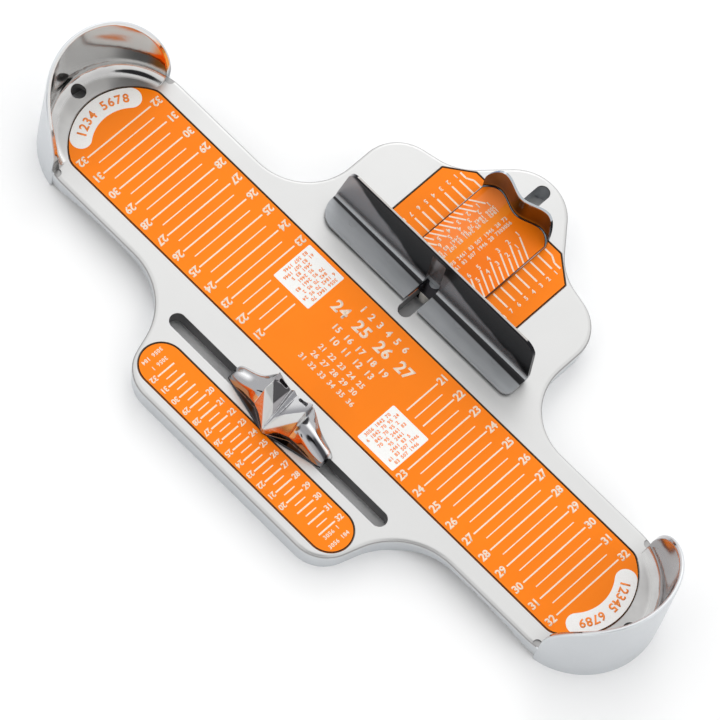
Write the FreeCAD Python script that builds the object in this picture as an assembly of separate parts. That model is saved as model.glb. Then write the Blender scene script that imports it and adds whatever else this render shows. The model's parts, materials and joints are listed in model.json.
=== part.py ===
import FreeCAD, Part
import math
import os

# Foot measuring device: a cast base with a heel cup at each end, three printed
# scale plates, an arch pointer that slides along the length and a width bar
# that slides across it.
#
# Modelling axes, millimetres: x runs along the length plate, y from the arch
# side (minus) to the width side (plus), z up from the surface it rests on.
# y = 0 is the centre line of the length plate until the pieces are placed.

Vector = FreeCAD.Vector
UP = Vector(0, 0, 1)
ALONG = Vector(1, 0, 0)
ACROSS = Vector(0, 1, 0)

# ---------------------------------------------------------------- scale plates
plate_thickness = 0.8
plate_gap = 0.35              # between a plate's edge and its recess
length_plate_half_width = 26.87
length_plate_half_length = 163.5
length_plate_end_radius = 30.2
length_plate_corner_radius = 8.0
arch_plate_half_length = 62.0
arch_plate_half_width = 10.7
width_plate_half_width = 38.4
width_plate_setback = 3.4     # from the arm's edge to the plate
width_plate_side = 55.6       # straight side, up to the cut corner
width_plate_corner_cut = 9.7  # how far the cut corner runs outwards
width_plate_end_half = 26.3
width_plate_corner_radius = 0.8

# ---------------------------------------------------------------- base casting
base_height = 12.5            # resting plane to the top face
top_thickness = 3.2
skirt_wall = 3.0
skirt_draft = math.radians(6.0)
top_edge_radius = 1.8
arm_margin = 9.73             # top face beside the length plate
arm_relief_setback = 30.0     # from a cup's axis to where the skirt is lifted most
arm_relief_half_chord = 38.0
arm_relief_rise = 8.4

width_side_margin = 27.1      # lobe's side beside the width plate
width_root_radius = 28.0
width_shoulder_drop = 3.1     # lobe's shoulder below the plate's cut corner
width_shoulder_radius = 20.0
width_neck_margin = 7.2       # lobe's neck beside the plate's end
width_neck_drop = 5.7
width_neck_radius = 28.0
width_peak = 22.0             # lobe's outermost point beyond the plate's end
width_peak_radius = 22.4

arch_root_margin = 11.5       # lobe's corner with the arm, beyond the arch plate
arch_root_radius = 33.0
arch_tip_inset = 2.1
arch_tip_radius = 18.0
arch_margin = 5.3             # top face outside the arch plate

# ------------------------------------------------------------------- heel cups
cup_setback = 21.5            # from the length plate's end back to the cup's axis
cup_proud = 0.25              # cup stands this far outside the arm
cup_height = 40.0             # rim above the top face
cup_wall = 3.5
cup_lean_outside = math.radians(0.3)
cup_lean_inside = math.radians(2.5)
cup_foot_draw = 0.3           # cup's foot is this much smaller than at the top face
cup_floor_radius = 5.5
rim_edge_radius = 0.7
rim_foot = 6.5                # the cup starts this far beyond its axis
rim_poles = ((8.0, 14.0), (19.5, 9.6), (32.0, 0.0))   # beyond the axis, drop below the rim
cup_notch = 5.8               # run-out beside the cup's foot, beyond its axis
cup_notch_radius = 2.2
cup_notch_depth = 0.8
hang_hole_margin = 6.5        # hanging hole's centre beyond the length plate
hang_hole_radius = 3.5

# ------------------------------------------------- slots and rails in the base
arch_slot_setback = 7.9       # from the arm's edge to the slot's centre line
arch_slot_overrun = 3.6       # slot runs this far past the arch plate's ends
arch_slot_half_width = 3.9
slot_to_arch_plate = 4.9
width_slot_start = 3.53       # from the length plate to the slot
width_slot_end_wall = 3.6     # from the slot to the lobe's outermost point
width_slot_half_width = 3.5
rail_wall = 2.8
rail_depth = 4.8              # rails hang this far below the top plate
rib_width = 3.0
rib_depth = 4.5
rib_y = 15.0
rib_overrun = 8.0             # ribs run this far past the cups' axes
cross_rib_x = 88.0

# ------------------------------------------------------- parts of both sliders
slide_gap = 0.1               # running gap under a sliding face
key_side_gap = 0.1            # key to slot wall
neck_inset = 1.3              # the key's neck is this much slimmer than the key
spring_room = 0.9             # rails down to the retainer
spring_thickness = 0.3
spring_edge_inset = 0.3
retainer_thickness = 1.0
retainer_overhang = 2.5       # retainer past the slot on each side
hole_gap = 0.08               # shank to hole, radial
washer_thickness = 0.5
washer_overhang = 0.5

# ----------------------------------------------------------------- arch slider
# distances across are from the slot's centre line, plus towards the foot
pointer_hollow_y = 32.5       # axis and radius of the concave face towards the foot
pointer_hollow_radius = 26.0
pointer_plate_thickness = 0.8
pointer_plate_outline = ((0, -10.0), (28.2, -2.8), (28.2, 3.0), (-28.2, 3.0), (-28.2, -2.8))
# corners of the head's right half: along, across and up
head_tip = (0, -10.5, 4.6)
head_tip_low = (0, -10.2, 0.4)
head_keel = (6.0, -7.0, 6.6)          # lower edge of the front, above an undercut
head_keel_end = (10.4, -5.2, 6.6)
head_undercut = (10.4, -4.0, 0.4)
head_shoulder = (10.3, -0.6, 16.6)
head_edge = (9.9, 3.8, 18.8)
head_horn = (10.2, 7.4, 22.0)
head_foot = (11.0, 9.3, 0.1)
head_valley = (3.4, -2.0, 13.6)
head_back = (5.6, 7.0, 18.8)
head_ridge_side = (1.9, 7.0, 18.8)
head_ridge = (0, 7.0, 21.2)
# wing sections: along, then across and up from the undercut over the crown to the back's foot
pointer_wing_sections = (
    (8.5, ((-4.0, 0.4), (-5.6, 6.4), (-1.6, 12.6), (1.5, 13.6), (5.0, 14.6), (8.2, 17.0), (9.3, 0))),
    (11.6, ((-3.8, 0.4), (-4.9, 6.2), (-1.2, 11.4), (1.6, 11.9), (5.2, 13.6), (8.3, 17.0), (9.3, 0))),
    (14.3, ((-3.6, 0.4), (-4.3, 4.6), (-2.7, 11.2), (1.2, 11.6), (4.8, 11.8), (8.2, 11.4), (9.3, 0))),
    (17.2, ((-3.4, 0.4), (-3.8, 2.6), (-3.2, 9.0), (0.8, 11.0), (4.2, 10.2), (7.7, 6.8), (9.0, 0))),
    (20.0, ((-3.2, 0.4), (-3.6, 1.4), (-3.1, 6.8), (0.5, 10.0), (3.8, 9.0), (7.0, 5.0), (8.4, 0))),
    (23.0, ((-3.0, 0.4), (-3.4, 1.0), (-2.8, 5.2), (0.3, 8.4), (3.4, 7.8), (6.2, 4.4), (7.4, 0))),
    (26.6, ((-2.6, 0.3), (-2.8, 0.8), (-2.2, 3.6), (0.2, 5.6), (2.9, 5.8), (5.2, 3.8), (6.0, 0))),
    (28.4, ((-2.0, 0.2), (-2.1, 0.6), (-1.6, 1.8), (0.2, 3.0), (2.6, 3.2), (4.4, 2.4), (5.0, 0))),
)
pointer_mouth_x = 5.9         # small dark mouth behind each hollow, at the foot side
pointer_mouth_half = 2.2
pointer_mouth_front = 5.4
pointer_mouth_back = 6.7
pointer_mouth_floor = 13.5
arch_key_half_length = 15.5
arch_neck_shorter = 5.5       # neck is this much shorter than the key at each end
arch_retainer_half_length = 14.0
arch_screw_x = 6.0
arch_screw_radius = 1.45
arch_screw_grip = 3.5         # thread length inside the pointer
arch_screw_head_radius = 2.6
arch_screw_head_height = 1.4
arch_screw_socket_radius = 1.2
arch_screw_socket_depth = 0.8

# ---------------------------------------------------------------- width slider
bar_rest = 6.2                # bar's front edge behind the slot's front end
bar_half_length = 58.8
bar_flange_depth = 12.6       # front edge to the upright wall's face
bar_height = 29.5             # wall top above the base's top face
bar_flange_thickness = 1.3
bar_wall_thickness = 1.7
bar_bend_radius = 2.2
bar_left_corner_radius = 10.0
bar_right_corner_radius = 4.0
bar_left_slant = 4.0          # the wall's ends lean in towards its top
bar_right_slant = 1.6
bar_left_top_radius = 5.0
bar_right_top_radius = 7.0
bar_notch_half_width = 4.0
bar_channel_depth = 2.2
bar_channel_top_gap = 2.0
bar_channel_ramp = 5.6        # the pressed channel fades out over this height
bar_rivet_inner_x = 21.0
bar_rivet_end_margin = 6.0    # outer rivets in from the carrier's ends
bar_rivet_inset = 8.5         # from the bar's front edge
bar_rivet_radius = 1.2
bar_rivet_head_radius = 1.8
bar_rivet_head_height = 0.6
carrier_thickness = 1.2
carrier_end_inset = 8.8       # inside the bar's ends
carrier_front_inset = 2.0
carrier_back_inset = 0.5
carrier_half_width = 19.6
overlay_thickness = 0.25
overlay_edge = 0.25
overlay_front_gap = 0.4
front_key_inset = 8.6         # from the bar's front edge
front_key_length = 12.0
key_spacing = 40.3            # from the front key's start to the rear key's start
rear_key_length = 11.5
key_neck_shorter = 2.0        # neck is this much shorter than the key at each end
width_retainer_inset = 1.4
key_rivet_radius = 1.5
key_rivet_head_radius = 2.6
key_rivet_head_height = 1.2
grip_margin = 4.6             # carrier behind the rear key, to the grip's ends
grip_height = 15.2            # above the carrier's top face
grip_wall = 1.2
grip_corner_radius = 7.0
grip_lobe_x = 11.0
grip_lobe = 4.6               # lobes beyond the grip's ends
grip_cusp = 1.2

# ------------------------------------------------------------------ worked out
arm_half_width = length_plate_half_width + arm_margin
cup_centre = length_plate_half_length - cup_setback
rim_foot_x = cup_centre + rim_foot
hang_hole_x = length_plate_half_length + hang_hole_margin

arch_slot_y = -arm_half_width - arch_slot_setback
arch_slot_half_length = arch_plate_half_length + arch_slot_overrun
arch_plate_centre_y = arch_slot_y - arch_slot_half_width - slot_to_arch_plate - arch_plate_half_width
arch_reach = arch_plate_half_width - arch_plate_centre_y + arch_margin

width_plate_front_y = arm_half_width + width_plate_setback
width_plate_shoulder_y = width_plate_front_y + width_plate_side
width_plate_end_y = width_plate_shoulder_y + width_plate_corner_cut
width_reach = width_plate_end_y + width_peak
width_slot_front_y = length_plate_half_width + width_slot_start
width_slot_end_y = width_reach - width_slot_end_wall

bar_front_y = width_slot_front_y + bar_rest
bar_wall_y = bar_front_y + bar_flange_depth
bar_back_y = bar_wall_y + bar_wall_thickness
bar_rivet_y = bar_front_y + bar_rivet_inset
carrier_bar_half = bar_half_length - carrier_end_inset
carrier_front_y = bar_front_y + carrier_front_inset
carrier_back_y = bar_back_y - carrier_back_inset
front_key_start_y = bar_front_y + front_key_inset
rear_key_start_y = front_key_start_y + key_spacing
rear_key_end_y = rear_key_start_y + rear_key_length
grip_end_y = rear_key_end_y + grip_margin

underside_z = base_height - top_thickness
rail_bottom_z = underside_z - rail_depth
retainer_top_z = rail_bottom_z - spring_room
retainer_bottom_z = retainer_top_z - retainer_thickness
slider_z = base_height + slide_gap
carrier_top_z = slider_z + carrier_thickness
flange_top_z = carrier_top_z + bar_flange_thickness
bar_top_z = base_height + bar_height
skirt_lean = base_height * math.tan(skirt_draft)
place_y = (arch_reach - width_reach) / 2

tiny = 1e-6
near = 1e-4                   # how close an edge lies to the place it is looked for
through = 2.0                 # how far a cutting tool runs past a face
quarter_turn = 90
half_turn = 180
hexagon_sides = 6


# ------------------------------------------------------------------ plane shapes
def unit(dx, dy):
    length = math.hypot(dx, dy)
    return dx / length, dy / length


def inset_corners(points, inset):
    """Corners of a counter-clockwise polygon with every side moved inwards."""
    corners = []
    for i, (px, py) in enumerate(points):
        ax, ay = points[i - 1]
        bx, by = points[(i + 1) % len(points)]
        ux, uy = unit(px - ax, py - ay)
        vx, vy = unit(bx - px, by - py)
        turn = ux * vy - uy * vx
        # both sides move along their left normals; solve for the new corner
        along = inset * (1 - (ux * vx + uy * vy)) / turn
        corners.append((px - uy * inset + ux * -along, py + ux * inset + uy * -along))
    return corners


def rounded_wire(points, radii, z=0.0, inset=0.0):
    """Closed wire of a counter-clockwise polygon with rounded corners."""
    corners = inset_corners(points, inset)
    rounds = []
    for i, (px, py) in enumerate(corners):
        ax, ay = corners[i - 1]
        bx, by = corners[(i + 1) % len(corners)]
        ux, uy = unit(px - ax, py - ay)
        vx, vy = unit(bx - px, by - py)
        turn = math.atan2(ux * vy - uy * vx, ux * vx + uy * vy)
        radius = radii[i] - inset if turn > 0 else radii[i] + inset
        reach = radius * math.tan(abs(turn) / 2)
        mx, my = unit(vx - ux, vy - uy)
        bulge = radius / math.cos(turn / 2) - radius
        start = Vector(px - ux * reach, py - uy * reach, z)
        middle = Vector(px + mx * bulge, py + my * bulge, z)
        end = Vector(px + vx * reach, py + vy * reach, z)
        rounds.append((start, middle, end))
    edges = []
    for i, (start, middle, end) in enumerate(rounds):
        before = rounds[i - 1][2]
        if (start - before).Length > tiny:
            edges.append(Part.makeLine(before, start))
        if (end - start).Length > tiny:
            edges.append(Part.Arc(start, middle, end).toShape())
    return Part.Wire(edges)


def on_top(x, y, height):
    """Point at a height above the base's top face."""
    return Vector(x, y, base_height + height)


def prism(wire, height):
    return Part.Face(wire).extrude(UP * height)


def block(x0, x1, y0, y1, z0, z1):
    return Part.makeBox(x1 - x0, y1 - y0, z1 - z0, Vector(x0, y0, z0))


def rod(x, y, z0, z1, radius):
    return Part.makeCylinder(radius, z1 - z0, Vector(x, y, z0), UP)


def stadium_x(half_length, half_width, centre_y, z0, z1, grow=0.0):
    """Long round-ended block along x."""
    width = half_width + grow
    reach = half_length + grow
    points = [(-reach, centre_y - width), (reach, centre_y - width),
              (reach, centre_y + width), (-reach, centre_y + width)]
    return prism(rounded_wire(points, [width] * 4, z0), z1 - z0)


def stadium_y(start_y, end_y, half_width, z0, z1, grow=0.0):
    """Long round-ended block along y."""
    width = half_width + grow
    points = [(-width, start_y - grow), (width, start_y - grow),
              (width, end_y + grow), (-width, end_y + grow)]
    return prism(rounded_wire(points, [width] * 4, z0), z1 - z0)


def spline_edge(points):
    curve = Part.BSplineCurve()
    curve.interpolate(points)
    return curve.toShape()


# ------------------------------------------------------------------ base casting
def base_outline():
    """Corners and radii of the whole base, counter-clockwise from the right end."""
    reach = cup_centre + arm_half_width
    side_x = width_plate_half_width + width_side_margin
    neck_x = width_plate_end_half + width_neck_margin
    neck_y = width_plate_end_y - width_neck_drop
    # the peak's sides run from the neck corner tangent to the peak circle
    peak_y = width_reach - width_peak_radius
    towards = math.atan2(peak_y - neck_y, -neck_x)
    spread = math.asin(width_peak_radius / math.hypot(peak_y - neck_y, neck_x))
    apex_y = neck_y - neck_x * math.tan(towards - spread)
    right = [
        (reach, -arm_half_width, arm_half_width),
        (reach, arm_half_width, arm_half_width),
        (side_x, arm_half_width, width_root_radius),
        (side_x, width_plate_shoulder_y - width_shoulder_drop, width_shoulder_radius),
        (neck_x, neck_y, width_neck_radius),
    ]
    bottom = [
        (arch_plate_half_length - arch_tip_inset, -arch_reach, arch_tip_radius),
        (arch_plate_half_length + arch_root_margin, -arm_half_width, arch_root_radius),
    ]
    left = [(-x, y, r) for x, y, r in reversed(right)]
    bottom_left = [(-x, y, r) for x, y, r in reversed(bottom)]
    corners = right + [(0.0, apex_y, width_peak_radius)] + left + bottom_left + bottom
    return [(x, y) for x, y, r in corners], [r for x, y, r in corners]


def drafted_body():
    points, radii = base_outline()
    foot = rounded_wire(points, radii, 0.0, skirt_lean)
    crown = rounded_wire(points, radii, base_height)
    body = Part.makeLoft([foot, crown], True, True)
    top_edges = []
    for edge in body.Edges:
        box = edge.BoundBox
        if box.ZMin > base_height - near:
            top_edges.append(edge)
    return body.makeFillet(top_edge_radius, top_edges)


def heel_cup():
    """One cup, turned about its own axis at the right-hand end."""
    outer = arm_half_width + cup_proud
    inner = outer - cup_wall
    rim_z = base_height + cup_height
    outer_foot = outer - cup_foot_draw
    outer_rim = outer + cup_height * math.tan(cup_lean_outside)
    inner_rim = inner + cup_height * math.tan(cup_lean_inside)
    lean_sin = math.sin(cup_lean_inside)
    lean_cos = math.cos(cup_lean_inside)
    floor_r = inner - cup_floor_radius * (1 - lean_sin) / lean_cos
    centre = Vector(floor_r, 0, base_height + cup_floor_radius)
    side = Vector(lean_cos, 0, -lean_sin)
    down = Vector(0, 0, -1)
    halfway = side + down
    halfway.normalize()
    floor_point = centre + down * cup_floor_radius
    wall_point = centre + side * cup_floor_radius
    round_point = centre + halfway * cup_floor_radius
    corners = [wall_point, Vector(inner_rim, 0, rim_z), Vector(outer_rim, 0, rim_z),
               Vector(outer, 0, base_height), Vector(outer_foot, 0, 0),
               Vector(floor_r, 0, 0), floor_point]
    edges = [Part.makeLine(a, b) for a, b in zip(corners, corners[1:])]
    edges.append(Part.Arc(floor_point, round_point, wall_point).toShape())
    section = Part.Face(Part.Wire(edges))
    section.rotate(Vector(), UP, -quarter_turn)
    ring = section.revolve(Vector(), UP, half_turn)
    ring.translate(ALONG * cup_centre)
    reach = cup_centre + max(outer, outer_rim) + through
    ring = ring.cut(block(0, rim_foot_x, -reach, reach, -through, rim_z + through))
    cup = ring.cut(above_rim(reach)).removeSplitter()
    return round_rim(cup)


def above_rim(reach):
    """Everything over the rim's side view, to cut away from the turned cup."""
    rim_z = base_height + cup_height
    poles = [on_top(rim_foot_x, 0, 0)]
    poles += [on_top(cup_centre + x, 0, cup_height - drop) for x, drop in rim_poles]
    poles.append(on_top(reach, 0, cup_height))
    rise = Part.BezierCurve()
    rise.setPoles(poles)
    top = rim_z + through
    corners = [poles[-1], Vector(reach, 0, top), Vector(cup_centre, 0, top),
               Vector(cup_centre, 0, base_height), poles[0]]
    edges = [rise.toShape()] + [Part.makeLine(a, b) for a, b in zip(corners, corners[1:])]
    face = Part.Face(Part.Wire(edges))
    face.translate(ACROSS * -reach)
    return face.extrude(ACROSS * 2 * reach)


def round_rim(cup):
    edges = []
    for edge in cup.Edges:
        middle = edge.valueAt((edge.FirstParameter + edge.LastParameter) / 2)
        box = edge.BoundBox
        long_curve = box.YLength > arm_half_width / 2
        if long_curve and box.ZMax > base_height + cup_height / 2 and middle.z > box.ZMin:
            edges.append(edge)
    return cup.makeFillet(rim_edge_radius, edges)


def base_casting():
    casting = drafted_body()
    cup = heel_cup()
    casting = casting.fuse([cup, cup.mirror(Vector(), ALONG)])
    points, radii = base_outline()
    pocket = rounded_wire(points, radii, -through, skirt_wall + skirt_lean)
    casting = casting.cut(prism(pocket, underside_z + through))
    casting = casting.cut(arm_reliefs())
    casting = casting.fuse(rails_and_ribs())
    cuts = plate_recesses() + slots() + cup_notches() + hang_holes()
    return casting.cut(cuts).removeSplitter()


def arm_reliefs():
    """Shallow arches that lift the skirt between each lobe and its cup."""
    radius = (arm_relief_half_chord ** 2 + arm_relief_rise ** 2) / (2 * arm_relief_rise)
    centre_x = cup_centre - arm_relief_setback
    arches = []
    for side in (-1, 1):
        start = Vector(side * centre_x, -arch_reach, arm_relief_rise - radius)
        arches.append(Part.makeCylinder(radius, arch_reach + width_reach, start, ACROSS))
    return arches


def rails_and_ribs():
    pieces = [
        stadium_x(arch_slot_half_length, arch_slot_half_width, arch_slot_y,
                  rail_bottom_z, underside_z, rail_wall),
        stadium_y(width_slot_front_y, width_slot_end_y, width_slot_half_width,
                  rail_bottom_z, underside_z, rail_wall),
    ]
    half = rib_width / 2
    rib_end = cup_centre + rib_overrun
    for side in (-1, 1):
        pieces.append(block(-rib_end, rib_end, side * rib_y - half, side * rib_y + half,
                            underside_z - rib_depth, underside_z))
        pieces.append(block(side * cross_rib_x - half, side * cross_rib_x + half,
                            -arm_half_width + skirt_lean, arm_half_width - skirt_lean,
                            underside_z - rib_depth, underside_z))
    return pieces


def slots():
    top = base_height + through
    return [
        stadium_x(arch_slot_half_length, arch_slot_half_width, arch_slot_y, 0, top),
        stadium_y(width_slot_front_y, width_slot_end_y, width_slot_half_width, 0, top),
    ]


def cup_notches():
    """Round run-outs beside the foot of each cup wall."""
    notches = []
    notch_x = cup_centre + cup_notch
    notch_y = arm_half_width + cup_proud - cup_notch_radius
    for x in (-notch_x, notch_x):
        for y in (-notch_y, notch_y):
            notches.append(rod(x, y, base_height - cup_notch_depth,
                               base_height + cup_height, cup_notch_radius))
    return notches


def hang_holes():
    return [rod(side * hang_hole_x, 0, 0, base_height + cup_floor_radius, hang_hole_radius)
            for side in (-1, 1)]


# ------------------------------------------------------------------ scale plates
def length_plate_wire(z, grow):
    width = length_plate_half_width + grow
    end_radius = length_plate_end_radius + grow
    corner = length_plate_corner_radius + grow
    end_x = length_plate_half_length - length_plate_end_radius
    # each corner arc is tangent to the straight side and inside the end arc
    corner_y = width - corner
    corner_x = end_x + math.sqrt((end_radius - corner) ** 2 - corner_y ** 2)
    ux, uy = unit(corner_x - end_x, corner_y)
    join = (end_x + ux * end_radius, uy * end_radius)
    mx, my = unit(ux, uy + 1)
    middle = (corner_x + mx * corner, corner_y + my * corner)
    right = [
        Part.Arc(Vector(corner_x, -width, z), Vector(middle[0], -middle[1], z),
                 Vector(join[0], -join[1], z)).toShape(),
        Part.Arc(Vector(join[0], -join[1], z), Vector(end_x + end_radius, 0, z),
                 Vector(join[0], join[1], z)).toShape(),
        Part.Arc(Vector(join[0], join[1], z), Vector(middle[0], middle[1], z),
                 Vector(corner_x, width, z)).toShape(),
    ]
    left = [edge.mirror(Vector(), ALONG) for edge in right]
    sides = [Part.makeLine(Vector(-corner_x, y, z), Vector(corner_x, y, z))
             for y in (-width, width)]
    return Part.Wire(Part.__sortEdges__(right + left + sides))


def width_plate_wire(z, grow):
    points = [
        (-width_plate_half_width, width_plate_front_y),
        (width_plate_half_width, width_plate_front_y),
        (width_plate_half_width, width_plate_shoulder_y),
        (width_plate_end_half, width_plate_end_y),
        (-width_plate_end_half, width_plate_end_y),
        (-width_plate_half_width, width_plate_shoulder_y),
    ]
    return rounded_wire(points, [width_plate_corner_radius] * len(points), z, -grow)


def plate_solids(grow, z0, z1):
    """The scale plates, or with a gap added, the recesses they lie in."""
    return [
        prism(length_plate_wire(z0, grow), z1 - z0),
        stadium_x(arch_plate_half_length, arch_plate_half_width, arch_plate_centre_y,
                  z0, z1, grow),
        prism(width_plate_wire(z0, grow), z1 - z0),
    ]


def plate_recesses():
    return plate_solids(plate_gap, base_height - plate_thickness, base_height + through)


def scale_plates():
    length_plate, arch_plate, width_plate = plate_solids(
        0.0, base_height - plate_thickness, base_height)
    slot = stadium_y(width_slot_front_y, width_slot_end_y, width_slot_half_width,
                     0, base_height + through, plate_gap)
    left_plate, right_plate = sorted(width_plate.cut(slot).Solids, key=lambda s: s.CenterOfMass.x)
    return length_plate, arch_plate, left_plate, right_plate


# ------------------------------------------------------------------- arch slider
def wing_section(x, corners):
    """Slice across one wing of the pointer: undercut, steep front, domed crown, steep back."""
    feet = slider_z - base_height
    points = [on_top(x, arch_slot_y + across, max(up, feet)) for across, up in corners]
    return Part.makePolygon(points + [points[0]])


def head_point(corner, side):
    along, across, up = corner
    return on_top(side * along, arch_slot_y + across, up)


def head_side(side):
    """Faces of one half of the head, from the ridge round the front to the foot."""
    corners = (head_tip, head_tip_low, head_keel, head_keel_end, head_undercut, head_shoulder, head_edge,
               head_horn, head_foot, head_valley, head_back, head_ridge_side, head_ridge)
    (tip, tip_low, keel, keel_end, undercut, shoulder, edge,
     horn, foot, valley, back, ridge_side, ridge) = [head_point(corner, side) for corner in corners]
    middle_foot = head_point((0, head_foot[1], head_foot[2]), side)
    return [
        (tip, ridge_side, ridge), (tip, valley, ridge_side), (valley, edge, ridge_side),
        (edge, back, ridge_side), (edge, horn, back),
        (tip, shoulder, valley), (shoulder, edge, valley),
        (tip, keel, shoulder), (keel, keel_end, shoulder),
        (tip, tip_low, keel), (tip_low, undercut, keel), (undercut, keel_end, keel),
        (undercut, shoulder, keel_end), (undercut, edge, shoulder), (undercut, horn, edge), (undercut, foot, horn),
        (tip_low, foot, undercut), (tip_low, middle_foot, foot),
        (foot, back, horn), (foot, ridge_side, back), (foot, ridge, ridge_side), (foot, middle_foot, ridge),
    ]


def pointer_head():
    """Head with a centre ridge, a hollow on each side of it and two raised horns."""
    triangles = head_side(1) + head_side(-1)
    faces = [Part.Face(Part.makePolygon(list(t) + [t[0]])) for t in triangles]
    head = Part.Solid(Part.Shell(faces))
    if head.Volume < 0:
        head.reverse()
    return head


def pointer_plate():
    """Thin dark plate under the head; its straight edges run from the tip to the wing ends."""
    outline = [Vector(x, arch_slot_y + across, slider_z) for x, across in pointer_plate_outline]
    return Part.Face(Part.makePolygon(outline + [outline[0]])).extrude(UP * pointer_plate_thickness)


def arch_pointer():
    wing = Part.makeLoft([wing_section(*s) for s in pointer_wing_sections], True, False)
    body = pointer_head().fuse([wing, wing.mirror(Vector(), ALONG), pointer_plate()])
    high = base_height + head_horn[2] + through
    cuts = [rod(0, arch_slot_y + pointer_hollow_y, base_height - through, high, pointer_hollow_radius)]
    for side in (-1, 1):
        cuts.append(rod(side * arch_screw_x, arch_slot_y, base_height - through,
                        slider_z + arch_screw_grip + hole_gap, arch_screw_radius + hole_gap))
        middle_x = side * pointer_mouth_x
        cuts.append(block(middle_x - pointer_mouth_half, middle_x + pointer_mouth_half,
                          arch_slot_y + pointer_mouth_front, arch_slot_y + pointer_mouth_back,
                          base_height + pointer_mouth_floor, high))
    return body.cut(cuts).removeSplitter()


def arch_neck_size():
    """Half length and half width of the arch key's neck."""
    return (arch_key_half_length - arch_neck_shorter,
            arch_slot_half_width - key_side_gap - neck_inset)


def arch_key():
    """Round-ended key in the slot, with a slimmer neck down to the retainer."""
    key_bottom_z = rail_bottom_z + slide_gap
    half_length, half_width = arch_neck_size()
    key = stadium_x(arch_key_half_length, arch_slot_half_width - key_side_gap, arch_slot_y,
                    key_bottom_z, slider_z)
    neck = block(-half_length, half_length, arch_slot_y - half_width,
                 arch_slot_y + half_width, retainer_top_z, key_bottom_z)
    return key.fuse(neck).cut(arch_screw_holes(retainer_top_z, slider_z)).removeSplitter()


def arch_screw_holes(z0, z1):
    return [rod(side * arch_screw_x, arch_slot_y, z0 - through, z1 + through,
                arch_screw_radius + hole_gap) for side in (-1, 1)]


def arch_retainer():
    half_width = arch_slot_half_width + retainer_overhang
    plate = block(-arch_retainer_half_length, arch_retainer_half_length,
                  arch_slot_y - half_width, arch_slot_y + half_width,
                  retainer_bottom_z, retainer_top_z)
    plate = plate.makeFillet(retainer_overhang, upright_edges(plate))
    return plate.cut(arch_screw_holes(retainer_bottom_z, retainer_top_z))


def upright_edges(plate):
    return [edge for edge in plate.Edges if edge.BoundBox.ZLength > retainer_thickness / 2]


def bowed_strip(half_length, half_width):
    """Leaf spring along x, centred on the origin, bowed up in the middle."""
    low = retainer_top_z + slide_gap / 2
    high = rail_bottom_z - slide_gap / 2 - spring_thickness
    lower = [Vector(-half_length, -half_width, low), Vector(0, -half_width, high),
             Vector(half_length, -half_width, low)]
    upper = [point + UP * spring_thickness for point in lower]
    edges = [
        Part.Arc(*lower).toShape(),
        Part.makeLine(lower[2], upper[2]),
        Part.Arc(*upper).toShape(),
        Part.makeLine(upper[0], lower[0]),
    ]
    return Part.Face(Part.Wire(edges)).extrude(ACROSS * 2 * half_width)


def arch_spring():
    half_width = arch_slot_half_width + retainer_overhang - spring_edge_inset
    strip = bowed_strip(arch_retainer_half_length - spring_edge_inset, half_width)
    neck_x, neck_y = arch_neck_size()
    window_x = neck_x + spring_edge_inset
    window_y = neck_y + spring_edge_inset
    window = block(-window_x, window_x, -window_y, window_y, 0, base_height)
    strip = strip.cut(window)
    strip.translate(ACROSS * arch_slot_y)
    return strip


def arch_washers():
    rings = []
    for side in (-1, 1):
        ring = rod(side * arch_screw_x, arch_slot_y, retainer_bottom_z - washer_thickness,
                   retainer_bottom_z, arch_screw_head_radius + washer_overhang)
        rings.append(ring.cut(arch_screw_holes(0, base_height)))
    return Part.makeCompound(rings)


def arch_screws():
    seat = retainer_bottom_z - washer_thickness
    screws = []
    for side in (-1, 1):
        x = side * arch_screw_x
        head = rod(x, arch_slot_y, seat - arch_screw_head_height, seat, arch_screw_head_radius)
        socket = hex_prism(x, arch_slot_y, seat - arch_screw_head_height - through,
                           seat - arch_screw_head_height + arch_screw_socket_depth,
                           arch_screw_socket_radius)
        shank = rod(x, arch_slot_y, seat, slider_z + arch_screw_grip, arch_screw_radius)
        screws.append(head.fuse(shank).cut(socket).removeSplitter())
    return Part.makeCompound(screws)


def hex_prism(x, y, z0, z1, radius):
    points = []
    for i in range(hexagon_sides + 1):
        angle = math.tau * i / hexagon_sides
        points.append(Vector(x + radius * math.cos(angle), y + radius * math.sin(angle), z0))
    return prism(Part.makePolygon(points), z1 - z0)


# ------------------------------------------------------------------ width slider
def grip_line(shift):
    """Plan of the two-lobed grip; shift moves it out from its inner face."""
    end_x = carrier_half_width
    points = [(-end_x, 0), (-grip_lobe_x, grip_lobe), (0, grip_cusp),
              (grip_lobe_x, grip_lobe), (end_x, 0)]
    return [Vector(x, grip_end_y + y + shift, 0) for x, y in points]


def tongue(front_y, half_width, shift, z0, z1):
    """Flat plate from front_y out to the grip's line."""
    line = grip_line(shift)
    points = [Vector(p.x * half_width / carrier_half_width, p.y, z0) for p in line]
    front_left = Vector(-half_width, front_y, z0)
    front_right = Vector(half_width, front_y, z0)
    edges = [
        spline_edge(points),
        Part.makeLine(points[-1], front_right),
        Part.makeLine(front_right, front_left),
        Part.makeLine(front_left, points[0]),
    ]
    return prism(Part.Wire(edges), z1 - z0)


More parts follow.
